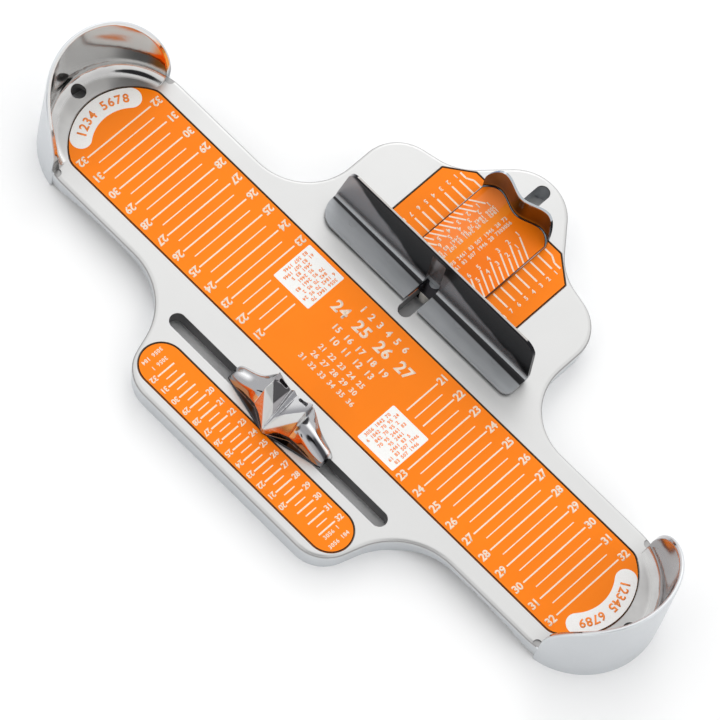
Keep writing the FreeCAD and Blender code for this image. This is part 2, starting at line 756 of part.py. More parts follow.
def thumb_grip():
    """Upright wall along the end of the carrier, shaped for thumb and finger."""
    inner = [Vector(p.x, p.y, slider_z) for p in grip_line(0)]
    outer = [Vector(p.x, p.y, slider_z) for p in grip_line(grip_wall)]
    edges = [
        spline_edge(inner),
        Part.makeLine(inner[-1], outer[-1]),
        spline_edge(outer),
        Part.makeLine(outer[0], inner[0]),
    ]
    height = carrier_thickness + grip_height
    wall = prism(Part.Wire(edges), height)
    half = carrier_half_width
    top = slider_z + height
    profile = [(-half, slider_z - grip_corner_radius), (half, slider_z - grip_corner_radius),
               (half, top), (-half, top)]
    cover = Part.Face(rounded_wire(profile, [grip_corner_radius] * 4))
    cover.rotate(Vector(), ALONG, quarter_turn)
    cover.translate(ACROSS * (grip_end_y + grip_lobe + grip_wall + through))
    return wall.common(cover.extrude(ACROSS * -grip_end_y))


def width_carrier():
    bar = block(-carrier_bar_half, carrier_bar_half, carrier_front_y, carrier_back_y,
                slider_z, carrier_top_z)
    plate = tongue(carrier_back_y - through, carrier_half_width, grip_wall / 2,
                   slider_z, carrier_top_z)
    notch = block(-bar_notch_half_width, bar_notch_half_width, carrier_front_y - through,
                  front_key_start_y, 0, base_height + through)
    carrier = bar.fuse([plate, thumb_grip()]).cut(notch)
    holes = [rod(x, bar_rivet_y, 0, base_height + through, bar_rivet_radius + hole_gap)
             for x in rivet_places()]
    holes += [rod(0, y, 0, base_height + through, key_rivet_radius + hole_gap)
              for y in key_rivet_places()]
    sinks = [Part.makeCone(key_rivet_radius + hole_gap, key_rivet_head_radius + hole_gap,
                           carrier_thickness, Vector(0, y, slider_z), UP)
             for y in key_rivet_places()]
    return carrier.cut(holes + sinks).removeSplitter()


def width_overlay():
    """Printed dial on the carrier, behind the bar."""
    front = bar_back_y + bar_channel_depth + overlay_front_gap
    return tongue(front, carrier_half_width - overlay_edge, -overlay_edge,
                  carrier_top_z, carrier_top_z + overlay_thickness)


def rivet_places():
    outer_x = carrier_bar_half - bar_rivet_end_margin
    return [-outer_x, -bar_rivet_inner_x, bar_rivet_inner_x, outer_x]


def key_rivet_places():
    return (front_key_start_y + front_key_length / 2 + key_neck_shorter / 2,
            rear_key_start_y + rear_key_length / 2)


def rivet_sink(x, gap):
    """Countersink of one bar rivet, up to the flange's top."""
    return Part.makeCone(bar_rivet_radius + gap, bar_rivet_head_radius + gap, bar_rivet_head_height,
                         Vector(x, bar_rivet_y, flange_top_z - bar_rivet_head_height))


def width_bar():
    """Bent bar: a flange on the carrier and an upright wall behind it."""
    flange = [(-bar_half_length, bar_front_y), (bar_half_length, bar_front_y),
              (bar_half_length, bar_back_y), (-bar_half_length, bar_back_y)]
    plan = prism(rounded_wire(flange, [bar_left_corner_radius, bar_right_corner_radius, 0, 0],
                              carrier_top_z), bar_height)
    side = [
        Vector(-bar_half_length, bar_front_y, carrier_top_z),
        Vector(-bar_half_length, bar_back_y, carrier_top_z),
        Vector(-bar_half_length, bar_back_y, bar_top_z),
        Vector(-bar_half_length, bar_wall_y, bar_top_z),
        Vector(-bar_half_length, bar_wall_y, flange_top_z),
        Vector(-bar_half_length, bar_front_y, flange_top_z),
    ]
    section = Part.Face(Part.makePolygon(side + [side[0]]))
    bent = section.extrude(ALONG * 2 * bar_half_length)
    bent = bent.makeFillet(bar_bend_radius, [edge_at(bent, bar_wall_y, flange_top_z)])
    bent = bent.makeFillet(bar_bend_radius + bar_flange_thickness,
                           [edge_at(bent, bar_back_y, carrier_top_z)])
    wall_start_z = flange_top_z + bar_bend_radius
    front = [(-bar_half_length, 0), (bar_half_length, 0), (bar_half_length, wall_start_z),
             (bar_half_length - bar_right_slant, bar_top_z),
             (bar_left_slant - bar_half_length, bar_top_z), (-bar_half_length, wall_start_z)]
    face = Part.Face(rounded_wire(front, [0, 0, 0, bar_right_top_radius, bar_left_top_radius, 0]))
    face.rotate(Vector(), ALONG, quarter_turn)
    silhouette = face.extrude(ACROSS * width_reach)
    return pierced_bar(bent.common(plan).common(silhouette))


def edge_at(shape, y, z):
    """The long edge of the bar that runs along x at this y and z."""
    for edge in shape.Edges:
        box = edge.BoundBox
        if box.XLength > bar_half_length and math.hypot(box.YMax - y, box.ZMax - z) < near:
            return edge


def pressed_channel(half, back_y, low_z, top_z):
    """Upright channel in the wall that fades out towards its top."""
    front_y = back_y - bar_channel_depth - bar_wall_thickness
    start_y = back_y - bar_channel_depth
    profile = [(front_y, low_z), (back_y, low_z), (back_y, top_z - bar_channel_ramp),
               (start_y, top_z), (front_y, top_z)]
    corners = [Vector(-half, y, z) for y, z in profile]
    return Part.Face(Part.makePolygon(corners + [corners[0]])).extrude(ALONG * 2 * half)


def pierced_bar(bar):
    """Notch over the slot, the pressed channel behind it, and the rivet holes."""
    half = bar_notch_half_width
    wall = bar_wall_thickness
    channel_top = bar_top_z - bar_channel_top_gap
    channel_low = carrier_top_z + slide_gap
    bar = bar.cut(block(-half, half, bar_front_y - through, bar_back_y + through,
                        0, flange_top_z + bar_bend_radius))
    bar = bar.cut(block(-half, half, bar_wall_y - through, bar_back_y + through, 0, channel_top))
    channel_back = bar_back_y + bar_channel_depth
    outer = pressed_channel(half + wall, channel_back, channel_low, channel_top + wall)
    inner = pressed_channel(half, channel_back - wall, channel_low - through, channel_top)
    channel = outer.common(block(-half - wall, half + wall, bar_wall_y, channel_back,
                                 0, bar_top_z)).cut(inner)
    holes = [rod(x, bar_rivet_y, 0, bar_top_z, bar_rivet_radius + hole_gap)
             for x in rivet_places()]
    sinks = [rivet_sink(x, hole_gap) for x in rivet_places()]
    return bar.fuse(channel).cut(holes + sinks).removeSplitter()


def bar_rivets():
    """Rivets through the bar's flange and the carrier, their heads set flush in the flange."""
    rivets = []
    for x in rivet_places():
        shank = rod(x, bar_rivet_y, slider_z, flange_top_z, bar_rivet_radius)
        rivets.append(shank.fuse(rivet_sink(x, 0)).removeSplitter())
    return Part.makeCompound(rivets)


def width_key(start_y, end_y):
    """Round-ended key in the slot, with a slimmer neck down to the retainer."""
    key_bottom_z = rail_bottom_z + slide_gap
    half_width = width_slot_half_width - key_side_gap
    neck_half = half_width - neck_inset
    key = stadium_y(start_y, end_y, half_width, key_bottom_z, slider_z)
    neck = block(-neck_half, neck_half, start_y + key_neck_shorter, end_y - key_neck_shorter,
                 retainer_top_z, key_bottom_z)
    holes = [rod(0, y, 0, base_height + through, key_rivet_radius + hole_gap)
             for y in key_rivet_places()]
    return key.fuse(neck).cut(holes).removeSplitter()


def width_retainer():
    half_width = width_slot_half_width + retainer_overhang
    start = front_key_start_y + width_retainer_inset
    end = rear_key_end_y - width_retainer_inset
    plate = block(-half_width, half_width, start, end, retainer_bottom_z, retainer_top_z)
    plate = plate.makeFillet(retainer_overhang, upright_edges(plate))
    holes = [rod(0, y, 0, base_height, key_rivet_radius + hole_gap) for y in key_rivet_places()]
    return plate.cut(holes)


def width_spring():
    """Leaf spring between the two keys, bowed up against the rails."""
    start = front_key_start_y + front_key_length
    half_length = (rear_key_start_y - start) / 2
    half_width = width_slot_half_width + retainer_overhang - spring_edge_inset
    strip = bowed_strip(half_length, half_width)
    strip.rotate(Vector(), UP, quarter_turn)
    strip.translate(ACROSS * (start + half_length))
    return strip


def key_rivets():
    """Rivets with a head flush in the carrier and a tail head under the retainer."""
    rivets = []
    for y in key_rivet_places():
        shank = rod(0, y, retainer_bottom_z, carrier_top_z, key_rivet_radius)
        head = Part.makeCone(key_rivet_radius, key_rivet_head_radius, carrier_thickness,
                             Vector(0, y, slider_z), UP)
        tail = rod(0, y, retainer_bottom_z - key_rivet_head_height, retainer_bottom_z,
                   key_rivet_head_radius)
        rivets.append(shank.fuse([head, tail]).removeSplitter())
    return Part.makeCompound(rivets)


# ----------------------------------------------------------------------- writing
def all_nodes():
    length_plate, arch_plate, left_plate, right_plate = scale_plates()
    return {
        "base_casting": base_casting(),
        "length_scale_plate": length_plate,
        "arch_scale_plate": arch_plate,
        "width_scale_plate_left": left_plate,
        "width_scale_plate_right": right_plate,
        "arch_pointer": arch_pointer(),
        "arch_guide_key": arch_key(),
        "arch_friction_spring": arch_spring(),
        "arch_retainer_plate": arch_retainer(),
        "arch_washers": arch_washers(),
        "arch_screws": arch_screws(),
        "width_carrier_plate": width_carrier(),
        "width_dial_overlay": width_overlay(),
        "width_bar": width_bar(),
        "width_bar_rivets": bar_rivets(),
        "width_front_key": width_key(front_key_start_y, front_key_start_y + front_key_length),
        "width_rear_key": width_key(rear_key_start_y, rear_key_end_y),
        "width_friction_spring": width_spring(),
        "width_retainer_plate": width_retainer(),
        "width_key_rivets": key_rivets(),
    }


os.makedirs("parts", exist_ok=True)
for name, shape in all_nodes().items():
    shape.translate(ACROSS * place_y)
    shape.exportStep("parts/" + name + ".step")
    box = shape.optimalBoundingBox()
    print(name, "solids", len(shape.Solids), "valid", shape.isValid(), "volume", round(shape.Volume),
          "x", round(box.XMin, 2), round(box.XMax, 2), "y", round(box.YMin, 2), round(box.YMax, 2),
          "z", round(box.ZMin, 2), round(box.ZMax, 2))
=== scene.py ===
import json
import math
import bpy
from mathutils import Matrix, Vector


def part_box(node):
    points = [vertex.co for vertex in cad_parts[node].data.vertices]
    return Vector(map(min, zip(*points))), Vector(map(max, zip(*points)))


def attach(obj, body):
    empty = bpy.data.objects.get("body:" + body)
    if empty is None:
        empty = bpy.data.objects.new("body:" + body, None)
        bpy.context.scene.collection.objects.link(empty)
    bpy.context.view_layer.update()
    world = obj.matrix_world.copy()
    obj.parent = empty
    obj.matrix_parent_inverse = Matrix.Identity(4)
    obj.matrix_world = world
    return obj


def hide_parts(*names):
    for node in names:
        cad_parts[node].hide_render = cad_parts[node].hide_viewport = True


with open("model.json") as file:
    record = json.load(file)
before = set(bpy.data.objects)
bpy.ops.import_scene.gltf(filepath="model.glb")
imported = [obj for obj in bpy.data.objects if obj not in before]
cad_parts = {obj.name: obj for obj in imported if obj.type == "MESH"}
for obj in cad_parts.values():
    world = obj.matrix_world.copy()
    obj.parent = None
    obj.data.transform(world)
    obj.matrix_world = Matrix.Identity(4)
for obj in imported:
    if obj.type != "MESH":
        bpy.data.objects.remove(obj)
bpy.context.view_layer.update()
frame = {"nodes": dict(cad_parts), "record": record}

mm = 0.001
nodes = frame["nodes"]
print("frame loaded:", len(nodes), "nodes")

# heights and centre lines that the finishes and the printing are laid out from
plateLow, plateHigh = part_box("length_scale_plate")
plateY = (plateLow.y + plateHigh.y) / 2      # centre line of the length plate
plateTop = plateHigh.z
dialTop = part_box("width_dial_overlay")[1].z
archKeyLow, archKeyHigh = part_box("arch_guide_key")
archSlotY = (archKeyLow.y + archKeyHigh.y) / 2      # centre line of the arch slot
upright = math.radians(90)                   # a quarter turn


def pickOnly(*objects):
    bpy.ops.object.select_all(action="DESELECT")
    for item in objects:
        item.select_set(True)
    bpy.context.view_layer.objects.active = objects[0]


def settle(piece):
    # place, turn and size go into the mesh, so the object sits at the origin
    pickOnly(piece)
    bpy.ops.object.transform_apply(location=True, rotation=True, scale=True)


def twin(source):
    # a copy with its own mesh
    copied = source.copy()
    copied.data = source.data.copy()
    bpy.context.scene.collection.objects.link(copied)
    return copied


def stamp(source, place, turn, size):
    # a copy stretched, turned about the vertical and put down at a place
    copied = twin(source)
    move = Matrix.Translation(place) @ Matrix.Rotation(turn, 4, "Z")
    copied.data.transform(move @ Matrix.Diagonal((*size, 1.0)))
    return copied


def joinAs(name, parts):
    pickOnly(*parts)
    if len(parts) > 1:
        bpy.ops.object.join()
    joined = bpy.context.view_layer.objects.active
    joined.name = name
    joined.data.name = name
    return joined


def discard(*items):
    for item in items:
        bpy.data.objects.remove(item, do_unlink=True)


def weld(piece, reach):
    # corners that lie together become one
    pickOnly(piece)
    bpy.ops.object.mode_set(mode="EDIT")
    bpy.ops.mesh.select_all(action="SELECT")
    bpy.ops.mesh.remove_doubles(threshold=reach)
    bpy.ops.object.mode_set(mode="OBJECT")


def modify(piece, kind, **settings):
    # one modifier, set and applied
    modifier = piece.modifiers.new(kind.lower(), kind)
    for name, value in settings.items():
        setattr(modifier, name, value)
    pickOnly(piece)
    bpy.ops.object.modifier_apply(modifier=modifier.name)


def onPlate(x, y, top=plateTop):
    # millimetres from the middle of the length plate to a point in the frame
    return Vector((x * mm, plateY + y * mm, top))


def dress(piece, material):
    piece.data.materials.clear()
    piece.data.materials.append(material)


class Finish:
    # one node material; every pattern reads Object coordinates
    def __init__(self, name, settings):
        self.material = bpy.data.materials.new(name)
        self.material.use_nodes = True
        self.tree = self.material.node_tree
        self.shader = self.tree.nodes["Principled BSDF"]
        for socket, value in settings.items():
            self.give(socket, value)
        self.place = self.tree.nodes.new("ShaderNodeTexCoord").outputs["Object"]

    def feed(self, socket, value):
        # a socket takes a fixed value, or what another node puts out
        if isinstance(value, (int, float, tuple)):
            socket.default_value = value
        else:
            self.tree.links.new(value, socket)

    def give(self, socket, value):
        self.feed(self.shader.inputs[socket], value)

    def math(self, kind, first, second=0.0):
        node = self.tree.nodes.new("ShaderNodeMath")
        node.operation = kind
        self.feed(node.inputs[0], first)
        self.feed(node.inputs[1], second)
        return node.outputs[0]

    def times(self, first, *others):
        for other in others:
            first = self.math("MULTIPLY", first, other)
        return first

    def inverse(self, value):
        return self.math("SUBTRACT", 1.0, value)

    def under(self, value, limit):
        return self.math("LESS_THAN", value, limit)

    def over(self, value, limit):
        return self.math("GREATER_THAN", value, limit)

    def noise(self, scale, detail, stretch=(1.0, 1.0, 1.0)):
        # the settings keep these together, in this order
        mapping = self.tree.nodes.new("ShaderNodeMapping")
        self.feed(mapping.inputs["Scale"], stretch)
        self.feed(mapping.inputs["Vector"], self.place)
        node = self.tree.nodes.new("ShaderNodeTexNoise")
        self.feed(node.inputs["Scale"], scale)
        self.feed(node.inputs["Detail"], detail)
        self.feed(node.inputs["Vector"], mapping.outputs[0])
        return node.outputs["Fac"]

    def span(self, value, low, high, toLow=0.0, toHigh=1.0, smooth=True):
        # goes from one number to another while the value goes from low to high
        node = self.tree.nodes.new("ShaderNodeMapRange")
        node.interpolation_type = "SMOOTHSTEP" if smooth else "LINEAR"
        sockets = ("Value", "From Min", "From Max", "To Min", "To Max")
        for socket, number in zip(sockets, (value, low, high, toLow, toHigh)):
            self.feed(node.inputs[socket], number)
        return node.outputs[0]

    def fall(self, value, low, high):
        return self.span(value, low, high, 1.0, 0.0)

    def band(self, value, low, high, soft):
        # one between two limits, with soft shoulders
        rising = self.span(value, low - soft, low + soft)
        return self.times(rising, self.fall(value, high - soft, high + soft))

    def mix(self, factor, first, second):
        # from one colour to another
        node = self.tree.nodes.new("ShaderNodeMix")
        node.data_type = "RGBA"
        for socket, value in zip((0, 6, 7), (factor, first, second)):
            self.feed(node.inputs[socket], value)
        return node.outputs[2]

    def blend(self, factor, first, second):
        # from one number to another
        node = self.tree.nodes.new("ShaderNodeMix")
        for socket, value in zip((0, 2, 3), (factor, first, second)):
            self.feed(node.inputs[socket], value)
        return node.outputs[0]

    def bump(self, height, strength, distance):
        node = self.tree.nodes.new("ShaderNodeBump")
        for socket, value in (("Strength", strength), ("Distance", distance), ("Height", height)):
            self.feed(node.inputs[socket], value)
        self.give("Normal", node.outputs[0])

    def axes(self):
        node = self.tree.nodes.new("ShaderNodeSeparateXYZ")
        self.feed(node.inputs[0], self.place)
        return tuple(node.outputs)


# the part of a noise pattern's range that is spread from nought to one
middlePart = (0.3, 0.7)
mostPart = (0.2, 0.8)
upperPart = (0.3, 0.8)

castSettings = {
    "topColor": (0.60, 0.60, 0.595, 1.0),
    # painted light: the skirt gets a lighter, bluer grey than the top
    "sideLitColor": (0.64, 0.66, 0.68, 1.0),
    "cloudColor": (0.55, 0.55, 0.56, 1.0),
    # painted shade on the rounded top edge
    "edgeColor": (0.27, 0.265, 0.265, 1.0),
    "cupColor": (0.64, 0.635, 0.625, 1.0),
    # the right cup's wall is painted darker, for its darker reflections
    "shadedCupColor": (0.50, 0.48, 0.49, 1.0),
    "cupFloorColor": (0.52, 0.517, 0.51, 1.0),
    "cupFloorDull": (0.42, 0.417, 0.413, 1.0),
    # painted reflection of the orange plate
    "plateReflectionColor": (0.85, 0.30, 0.05, 1.0),
    # painted shade inside the slots, lighter in the width slot
    "slotShadeColor": (0.20, 0.197, 0.20, 1.0),
    "widthSlotShadeColor": (0.42, 0.42, 0.43, 1.0),
    "topRoughness": (0.37, 0.47), "slotRoughness": 0.45,
    "cupRoughness": 0.10, "cupFloorRoughness": 0.30,
    "clouds": (28.0, 4.0), "cloudShare": 0.06, "turned": (60.0, 3.0, (1.0, 1.0, 3.0)),
    "grain": (1400.0, 3.0), "grainStrength": 0.04, "grainDepth": 0.04 * mm,
    # heights from the top face
    "topFade": (-2.5 * mm, -0.5 * mm),              # from the skirt's tone to the top's
    "edgeShadeLine": (-1.15 * mm, -0.55 * mm), "edgeShadeSoft": 0.3 * mm,     # painted shade along the rounded edge
    "slotFade": (-0.7 * mm, -0.25 * mm),
    "cupPolish": (0.02 * mm, 0.4 * mm),             # a cup's flat floor is only satin
    "cupFoot": (0.3 * mm, 4.5 * mm),                # the round foot of its wall
    "wallFade": (0.15 * mm, 1.2 * mm),
    "plateReflectionRise": (5.0 * mm, 9.0 * mm),               # painted reflection of the orange plate on the wall's end
    # places in plan
    "cupAxis": 142.0 * mm,                          # each cup's own axis, from the middle
    "cupInside": 35.9 * mm,                         # between the cup's inner and outer face
    "insideSoft": 0.4 * mm, "outsideSoft": 0.05 * mm,
    "cupStart": 6.2 * mm,                           # the wall begins this far beyond the axis
    "floorFade": (-2.0 * mm, 14.0 * mm),
    "plateReflectionAlong": (12.0 * mm, 17.5 * mm),
    "slotReach": 4.6 * mm,                          # half a slot's width and a little of its wall
    "archSlotHalf": 67.0 * mm,
    "widthSlot": (5.0 * mm, 90.0 * mm),
}


def fromTopFace(heights):
    return [plateTop + height for height in heights]


def findSlots(finish, x, y, z):
    # masks of the two slots' inner walls together, and of the width slot alone
    settings = castSettings
    aside = finish.math("ABSOLUTE", x)
    fromSlot = finish.math("ABSOLUTE", finish.math("SUBTRACT", y, archSlotY))
    archSlot = finish.times(finish.under(fromSlot, settings["slotReach"]),
                            finish.under(aside, settings["archSlotHalf"]))
    low, high = settings["widthSlot"]
    widthSlot = finish.times(finish.under(aside, settings["slotReach"]), finish.over(y, low),
                             finish.under(y, high))
    sunk = finish.fall(z, *fromTopFace(settings["slotFade"]))
    return finish.times(finish.math("MAXIMUM", archSlot, widthSlot), sunk), widthSlot


def findCups(finish, x, y, z):
    # masks of the polished inside of the heel cups and of all that is not their outer wall
    settings = castSettings
    along = finish.math("SUBTRACT", finish.math("ABSOLUTE", x), settings["cupAxis"])
    across = finish.math("SUBTRACT", y, plateY)
    squares = finish.math("ADD", finish.times(along, along), finish.times(across, across))
    fromAxis = finish.math("SQRT", squares)
    inside = settings["cupInside"]
    within = finish.fall(fromAxis, inside - settings["insideSoft"], inside)
    raised = finish.span(z, *fromTopFace(settings["wallFade"]))
    beyond = finish.span(along, *settings["floorFade"])
    inCup = finish.times(within, finish.math("MAXIMUM", raised, beyond))
    outer = finish.times(finish.over(along, settings["cupStart"]),
                         finish.span(fromAxis, inside, inside + settings["outsideSoft"]))
    return inCup, finish.inverse(outer), along


def makeCastAluminium():
    # linished on top, satin on the skirt, polished in the heel cups; with painted light: a lighter, bluer
    # skirt, painted shade inside the slots and along the rounded top edge, a painted orange reflection on one
    # cup wall's end and a right cup wall painted darker
    settings = castSettings
    finish = Finish("castAluminium", {"Metallic": 1.0})
    x, y, z = finish.axes()
    inSlot, widthSlot = findSlots(finish, x, y, z)
    inCup, notOuterWall, along = findCups(finish, x, y, z)
    clouds = finish.noise(*settings["clouds"])

    satin = finish.span(clouds, *middlePart, *settings["topRoughness"])
    offFloor = finish.span(z, *fromTopFace(settings["cupPolish"]))
    cupRoughness = finish.blend(offFloor, settings["cupFloorRoughness"], settings["cupRoughness"])
    roughness = finish.blend(inSlot, finish.blend(inCup, satin, cupRoughness), settings["slotRoughness"])
    finish.give("Roughness", roughness)

    onTop = finish.times(finish.span(z, *fromTopFace(settings["topFade"])), notOuterWall)
    # the skirt takes its painted lighter, bluer tone, the top its own
    plain = finish.mix(onTop, settings["sideLitColor"], settings["topColor"])
    share = finish.span(clouds, *mostPart, 0.0, settings["cloudShare"])
    cloudy = finish.mix(share, plain, settings["cloudColor"])
    # painted shade along the rounded edge of the top
    onEdge = finish.band(z, *fromTopFace(settings["edgeShadeLine"]), settings["edgeShadeSoft"])
    edgeShaded = finish.mix(finish.times(onEdge, notOuterWall), cloudy, settings["edgeColor"])

    turned = finish.span(finish.noise(*settings["turned"]), *middlePart)
    floorTone = finish.mix(turned, settings["cupFloorColor"], settings["cupFloorDull"])
    # painted shade: the right cup's wall darker than the left's
    wallTone = finish.mix(finish.over(x, 0.0), settings["cupColor"], settings["shadedCupColor"])
    onWall = finish.span(z, *fromTopFace(settings["cupFoot"]))
    # painted reflection of the orange plate on the left cup wall's end
    plateReflection = finish.times(finish.under(x, 0.0), finish.over(y, plateY),
                        finish.fall(along, *settings["plateReflectionAlong"]),
                        finish.span(z, *fromTopFace(settings["plateReflectionRise"])))
    cupTone = finish.mix(plateReflection, finish.mix(onWall, floorTone, wallTone), settings["plateReflectionColor"])
    # painted shade inside the slots
    slotShade = finish.mix(widthSlot, settings["slotShadeColor"], settings["widthSlotShadeColor"])
    color = finish.mix(inSlot, finish.mix(inCup, edgeShaded, cupTone), slotShade)
    finish.give("Base Color", color)
    finish.bump(finish.noise(*settings["grain"]), settings["grainStrength"], settings["grainDepth"])
    return finish.material


enamel = {
    "plateShader": {"Roughness": 0.32, "Specular IOR Level": 0.15,
                    "Coat Weight": 0.05, "Coat Roughness": 0.12},
    "dialShader": {"Roughness": 0.34, "Specular IOR Level": 0.15,
                   "Coat Weight": 0.05, "Coat Roughness": 0.15},
    "plateColor": (1.0, 0.228, 0.002, 1.0), "plateDeep": (0.93, 0.21204, 0.00186, 1.0),
    "dialColor": (1.0, 0.215, 0.003, 1.0), "dialDeep": (0.96, 0.195, 0.003, 1.0),
    "plateClouds": (22.0, 3.0), "dialClouds": (30.0, 3.0), "cloudPart": (0.35, 0.7),
    "sideZone": (1.0, 0.255, 0.045, 1.0), "middleZone": (1.0, 0.262, 0.012, 1.0),
    # where the dial's side zone starts, meets the middle zone, and where that one ends
    "zones": ((-17.5 * mm, -16.0 * mm), (-6.8 * mm, -6.2 * mm), (-2.6 * mm, -2.0 * mm)),
    "peel": (900.0, 2.0), "peelStrength": 0.04, "peelDepth": 0.03 * mm,
}


def finishEnamel(finish, color):
    finish.give("Base Color", color)
    finish.bump(finish.noise(*enamel["peel"]), enamel["peelStrength"], enamel["peelDepth"])
    return finish.material


def makePlateEnamel():
    finish = Finish("orangeEnamel", enamel["plateShader"])
    clouds = finish.span(finish.noise(*enamel["plateClouds"]), *enamel["cloudPart"])
    return finishEnamel(finish, finish.mix(clouds, enamel["plateColor"], enamel["plateDeep"]))


def makeDialEnamel():
    # the printed dial has faint zones side by side
    finish = Finish("dialEnamel", enamel["dialShader"])
    x = finish.axes()[0]
    start, meeting, end = enamel["zones"]
    side = finish.times(finish.span(x, *start), finish.fall(x, *meeting))
    middle = finish.times(finish.span(x, *meeting), finish.fall(x, *end))
    clouds = finish.span(finish.noise(*enamel["dialClouds"]), *enamel["cloudPart"])
    ground = finish.mix(clouds, enamel["dialColor"], enamel["dialDeep"])
    zoned = finish.mix(side, ground, enamel["sideZone"])
    return finishEnamel(finish, finish.mix(middle, zoned, enamel["middleZone"]))


inkFinish = {
    # a colour, the same where the ink is thin, and the shine
    "whiteInk": ((0.90, 0.76, 0.62, 1.0), (0.90, 0.62, 0.42, 1.0), 0.2),
    "panelInk": ((0.90, 0.895, 0.875, 1.0), (0.85, 0.84, 0.82, 1.0), 0.2),
    "orangeInk": ((0.95, 0.25, 0.03, 1.0), (0.9, 0.38, 0.16, 1.0), 0.2),
    # painted shade along the gaps round the plates, laid down as a thin dark print
    "edgeShadeInk": ((0.035, 0.024, 0.014, 1.0), (0.10, 0.055, 0.02, 1.0), 0.0),
    "roughness": 0.5, "patches": (1500.0, 3.0), "patchPart": (0.45, 0.75),
}


def makeInk(name):
    # printed ink is a little uneven
    color, thin, shine = inkFinish[name]
    finish = Finish(name, {"Roughness": inkFinish["roughness"], "Specular IOR Level": shine})
    patches = finish.span(finish.noise(*inkFinish["patches"]), *inkFinish["patchPart"])
    finish.give("Base Color", finish.mix(patches, color, thin))
    return finish.material


springFinish = {
    "color": (0.36, 0.37, 0.40, 1.0), "dull": (0.25, 0.26, 0.30, 1.0), "roughness": (0.255, 0.345),
    "marks": (260.0, 4.0, (1.0, 12.0, 1.0)),
}


def makeSpringSteel():
    # blued strip, with the marks of its rolling
    settings = springFinish
    finish = Finish("springSteel", {"Metallic": 1.0})
    marks = finish.noise(*settings["marks"])
    color = finish.mix(finish.span(marks, *upperPart), settings["color"], settings["dull"])
    finish.give("Base Color", color)
    finish.give("Roughness", finish.span(marks, *mostPart, *settings["roughness"]))
    return finish.material


chrome = {
    "marks": (90.0, 3.0),
    "pointerEnd": (-20.0 * mm, -10.0 * mm),      # the pointer's tones give way to the grip's
}

# the pointer's tones are painted highlights, painted shade and painted reflections, over a polished grey with
# its own marks
pointerTones = {
    "bright": (0.56, 0.56, 0.57, 1.0),
    "grey": (0.40, 0.40, 0.41, 1.0),
    # painted shade, a painted highlight, painted shade in the hollows, a painted highlight on the facets, and
    # the orange plate's painted reflection on the fronts
    "paintedShade": (0.26, 0.26, 0.275, 1.0),
    "glint": (0.86, 0.86, 0.87, 1.0),
    "hollow": (0.30, 0.29, 0.30, 1.0),
    "facet": (0.62, 0.625, 0.62, 1.0),
    "front": (0.66, 0.45, 0.36, 1.0),
    "frontEnd": (0.60, 0.25, 0.08, 1.0),
    # painted shade on the left wing, and the orange plate's painted reflection on the wings' fronts
    "leftWing": (0.33, 0.33, 0.34, 1.0),
    "wingFront": (0.62, 0.24, 0.085, 1.0),
    # painted shade on the thin plate under the pointer, and the right wing's darkest painted reflection
    "plate": (0.045, 0.045, 0.05, 1.0),
    "polish": (0.11, 0.17), "facetRoughness": 0.5, "hollowRoughness": 0.28,
    "plateTop": (0.9 * mm, 1.05 * mm),      # painted shade on the thin plate, up from the pointer's underside
    # the rest is in millimetres: aside from the middle, across from the slot, or past an edge
    "tipY": -10.5, "valley": (3.4, -2.0), "valleySlope": 0.892, "crestSlope": 0.961, "ridgeSlope": 0.109,
    "creaseSoft": (-0.15, 0.15), "ridgeSoft": (-0.1, 0.1), "fade": (0.5, 5.5),
    "frontSoft": (0.1, 0.5), "frontFade": (3.0, 7.0),
    "facetEnd": (-0.2, 0.1), "facetStart": (0.1, 0.4),
    "wingStart": (10.6, 11.2), "wingFrontEdge": (-2.95, -2.55),
    # bands of painted highlight and painted shade on the wings: from, to and softness
    "crownAside": (19.0, 25.5, 2.0), "crownAcross": (-0.4, 1.6, 1.2),
    "darkAside": (17.0, 20.0), "darkAcross": (-0.3, 1.8, 0.4),
    "paintedShadeAcross": (-1.3, 1.9, 0.6), "glintAcross": (2.3, 4.0, 0.6),
}


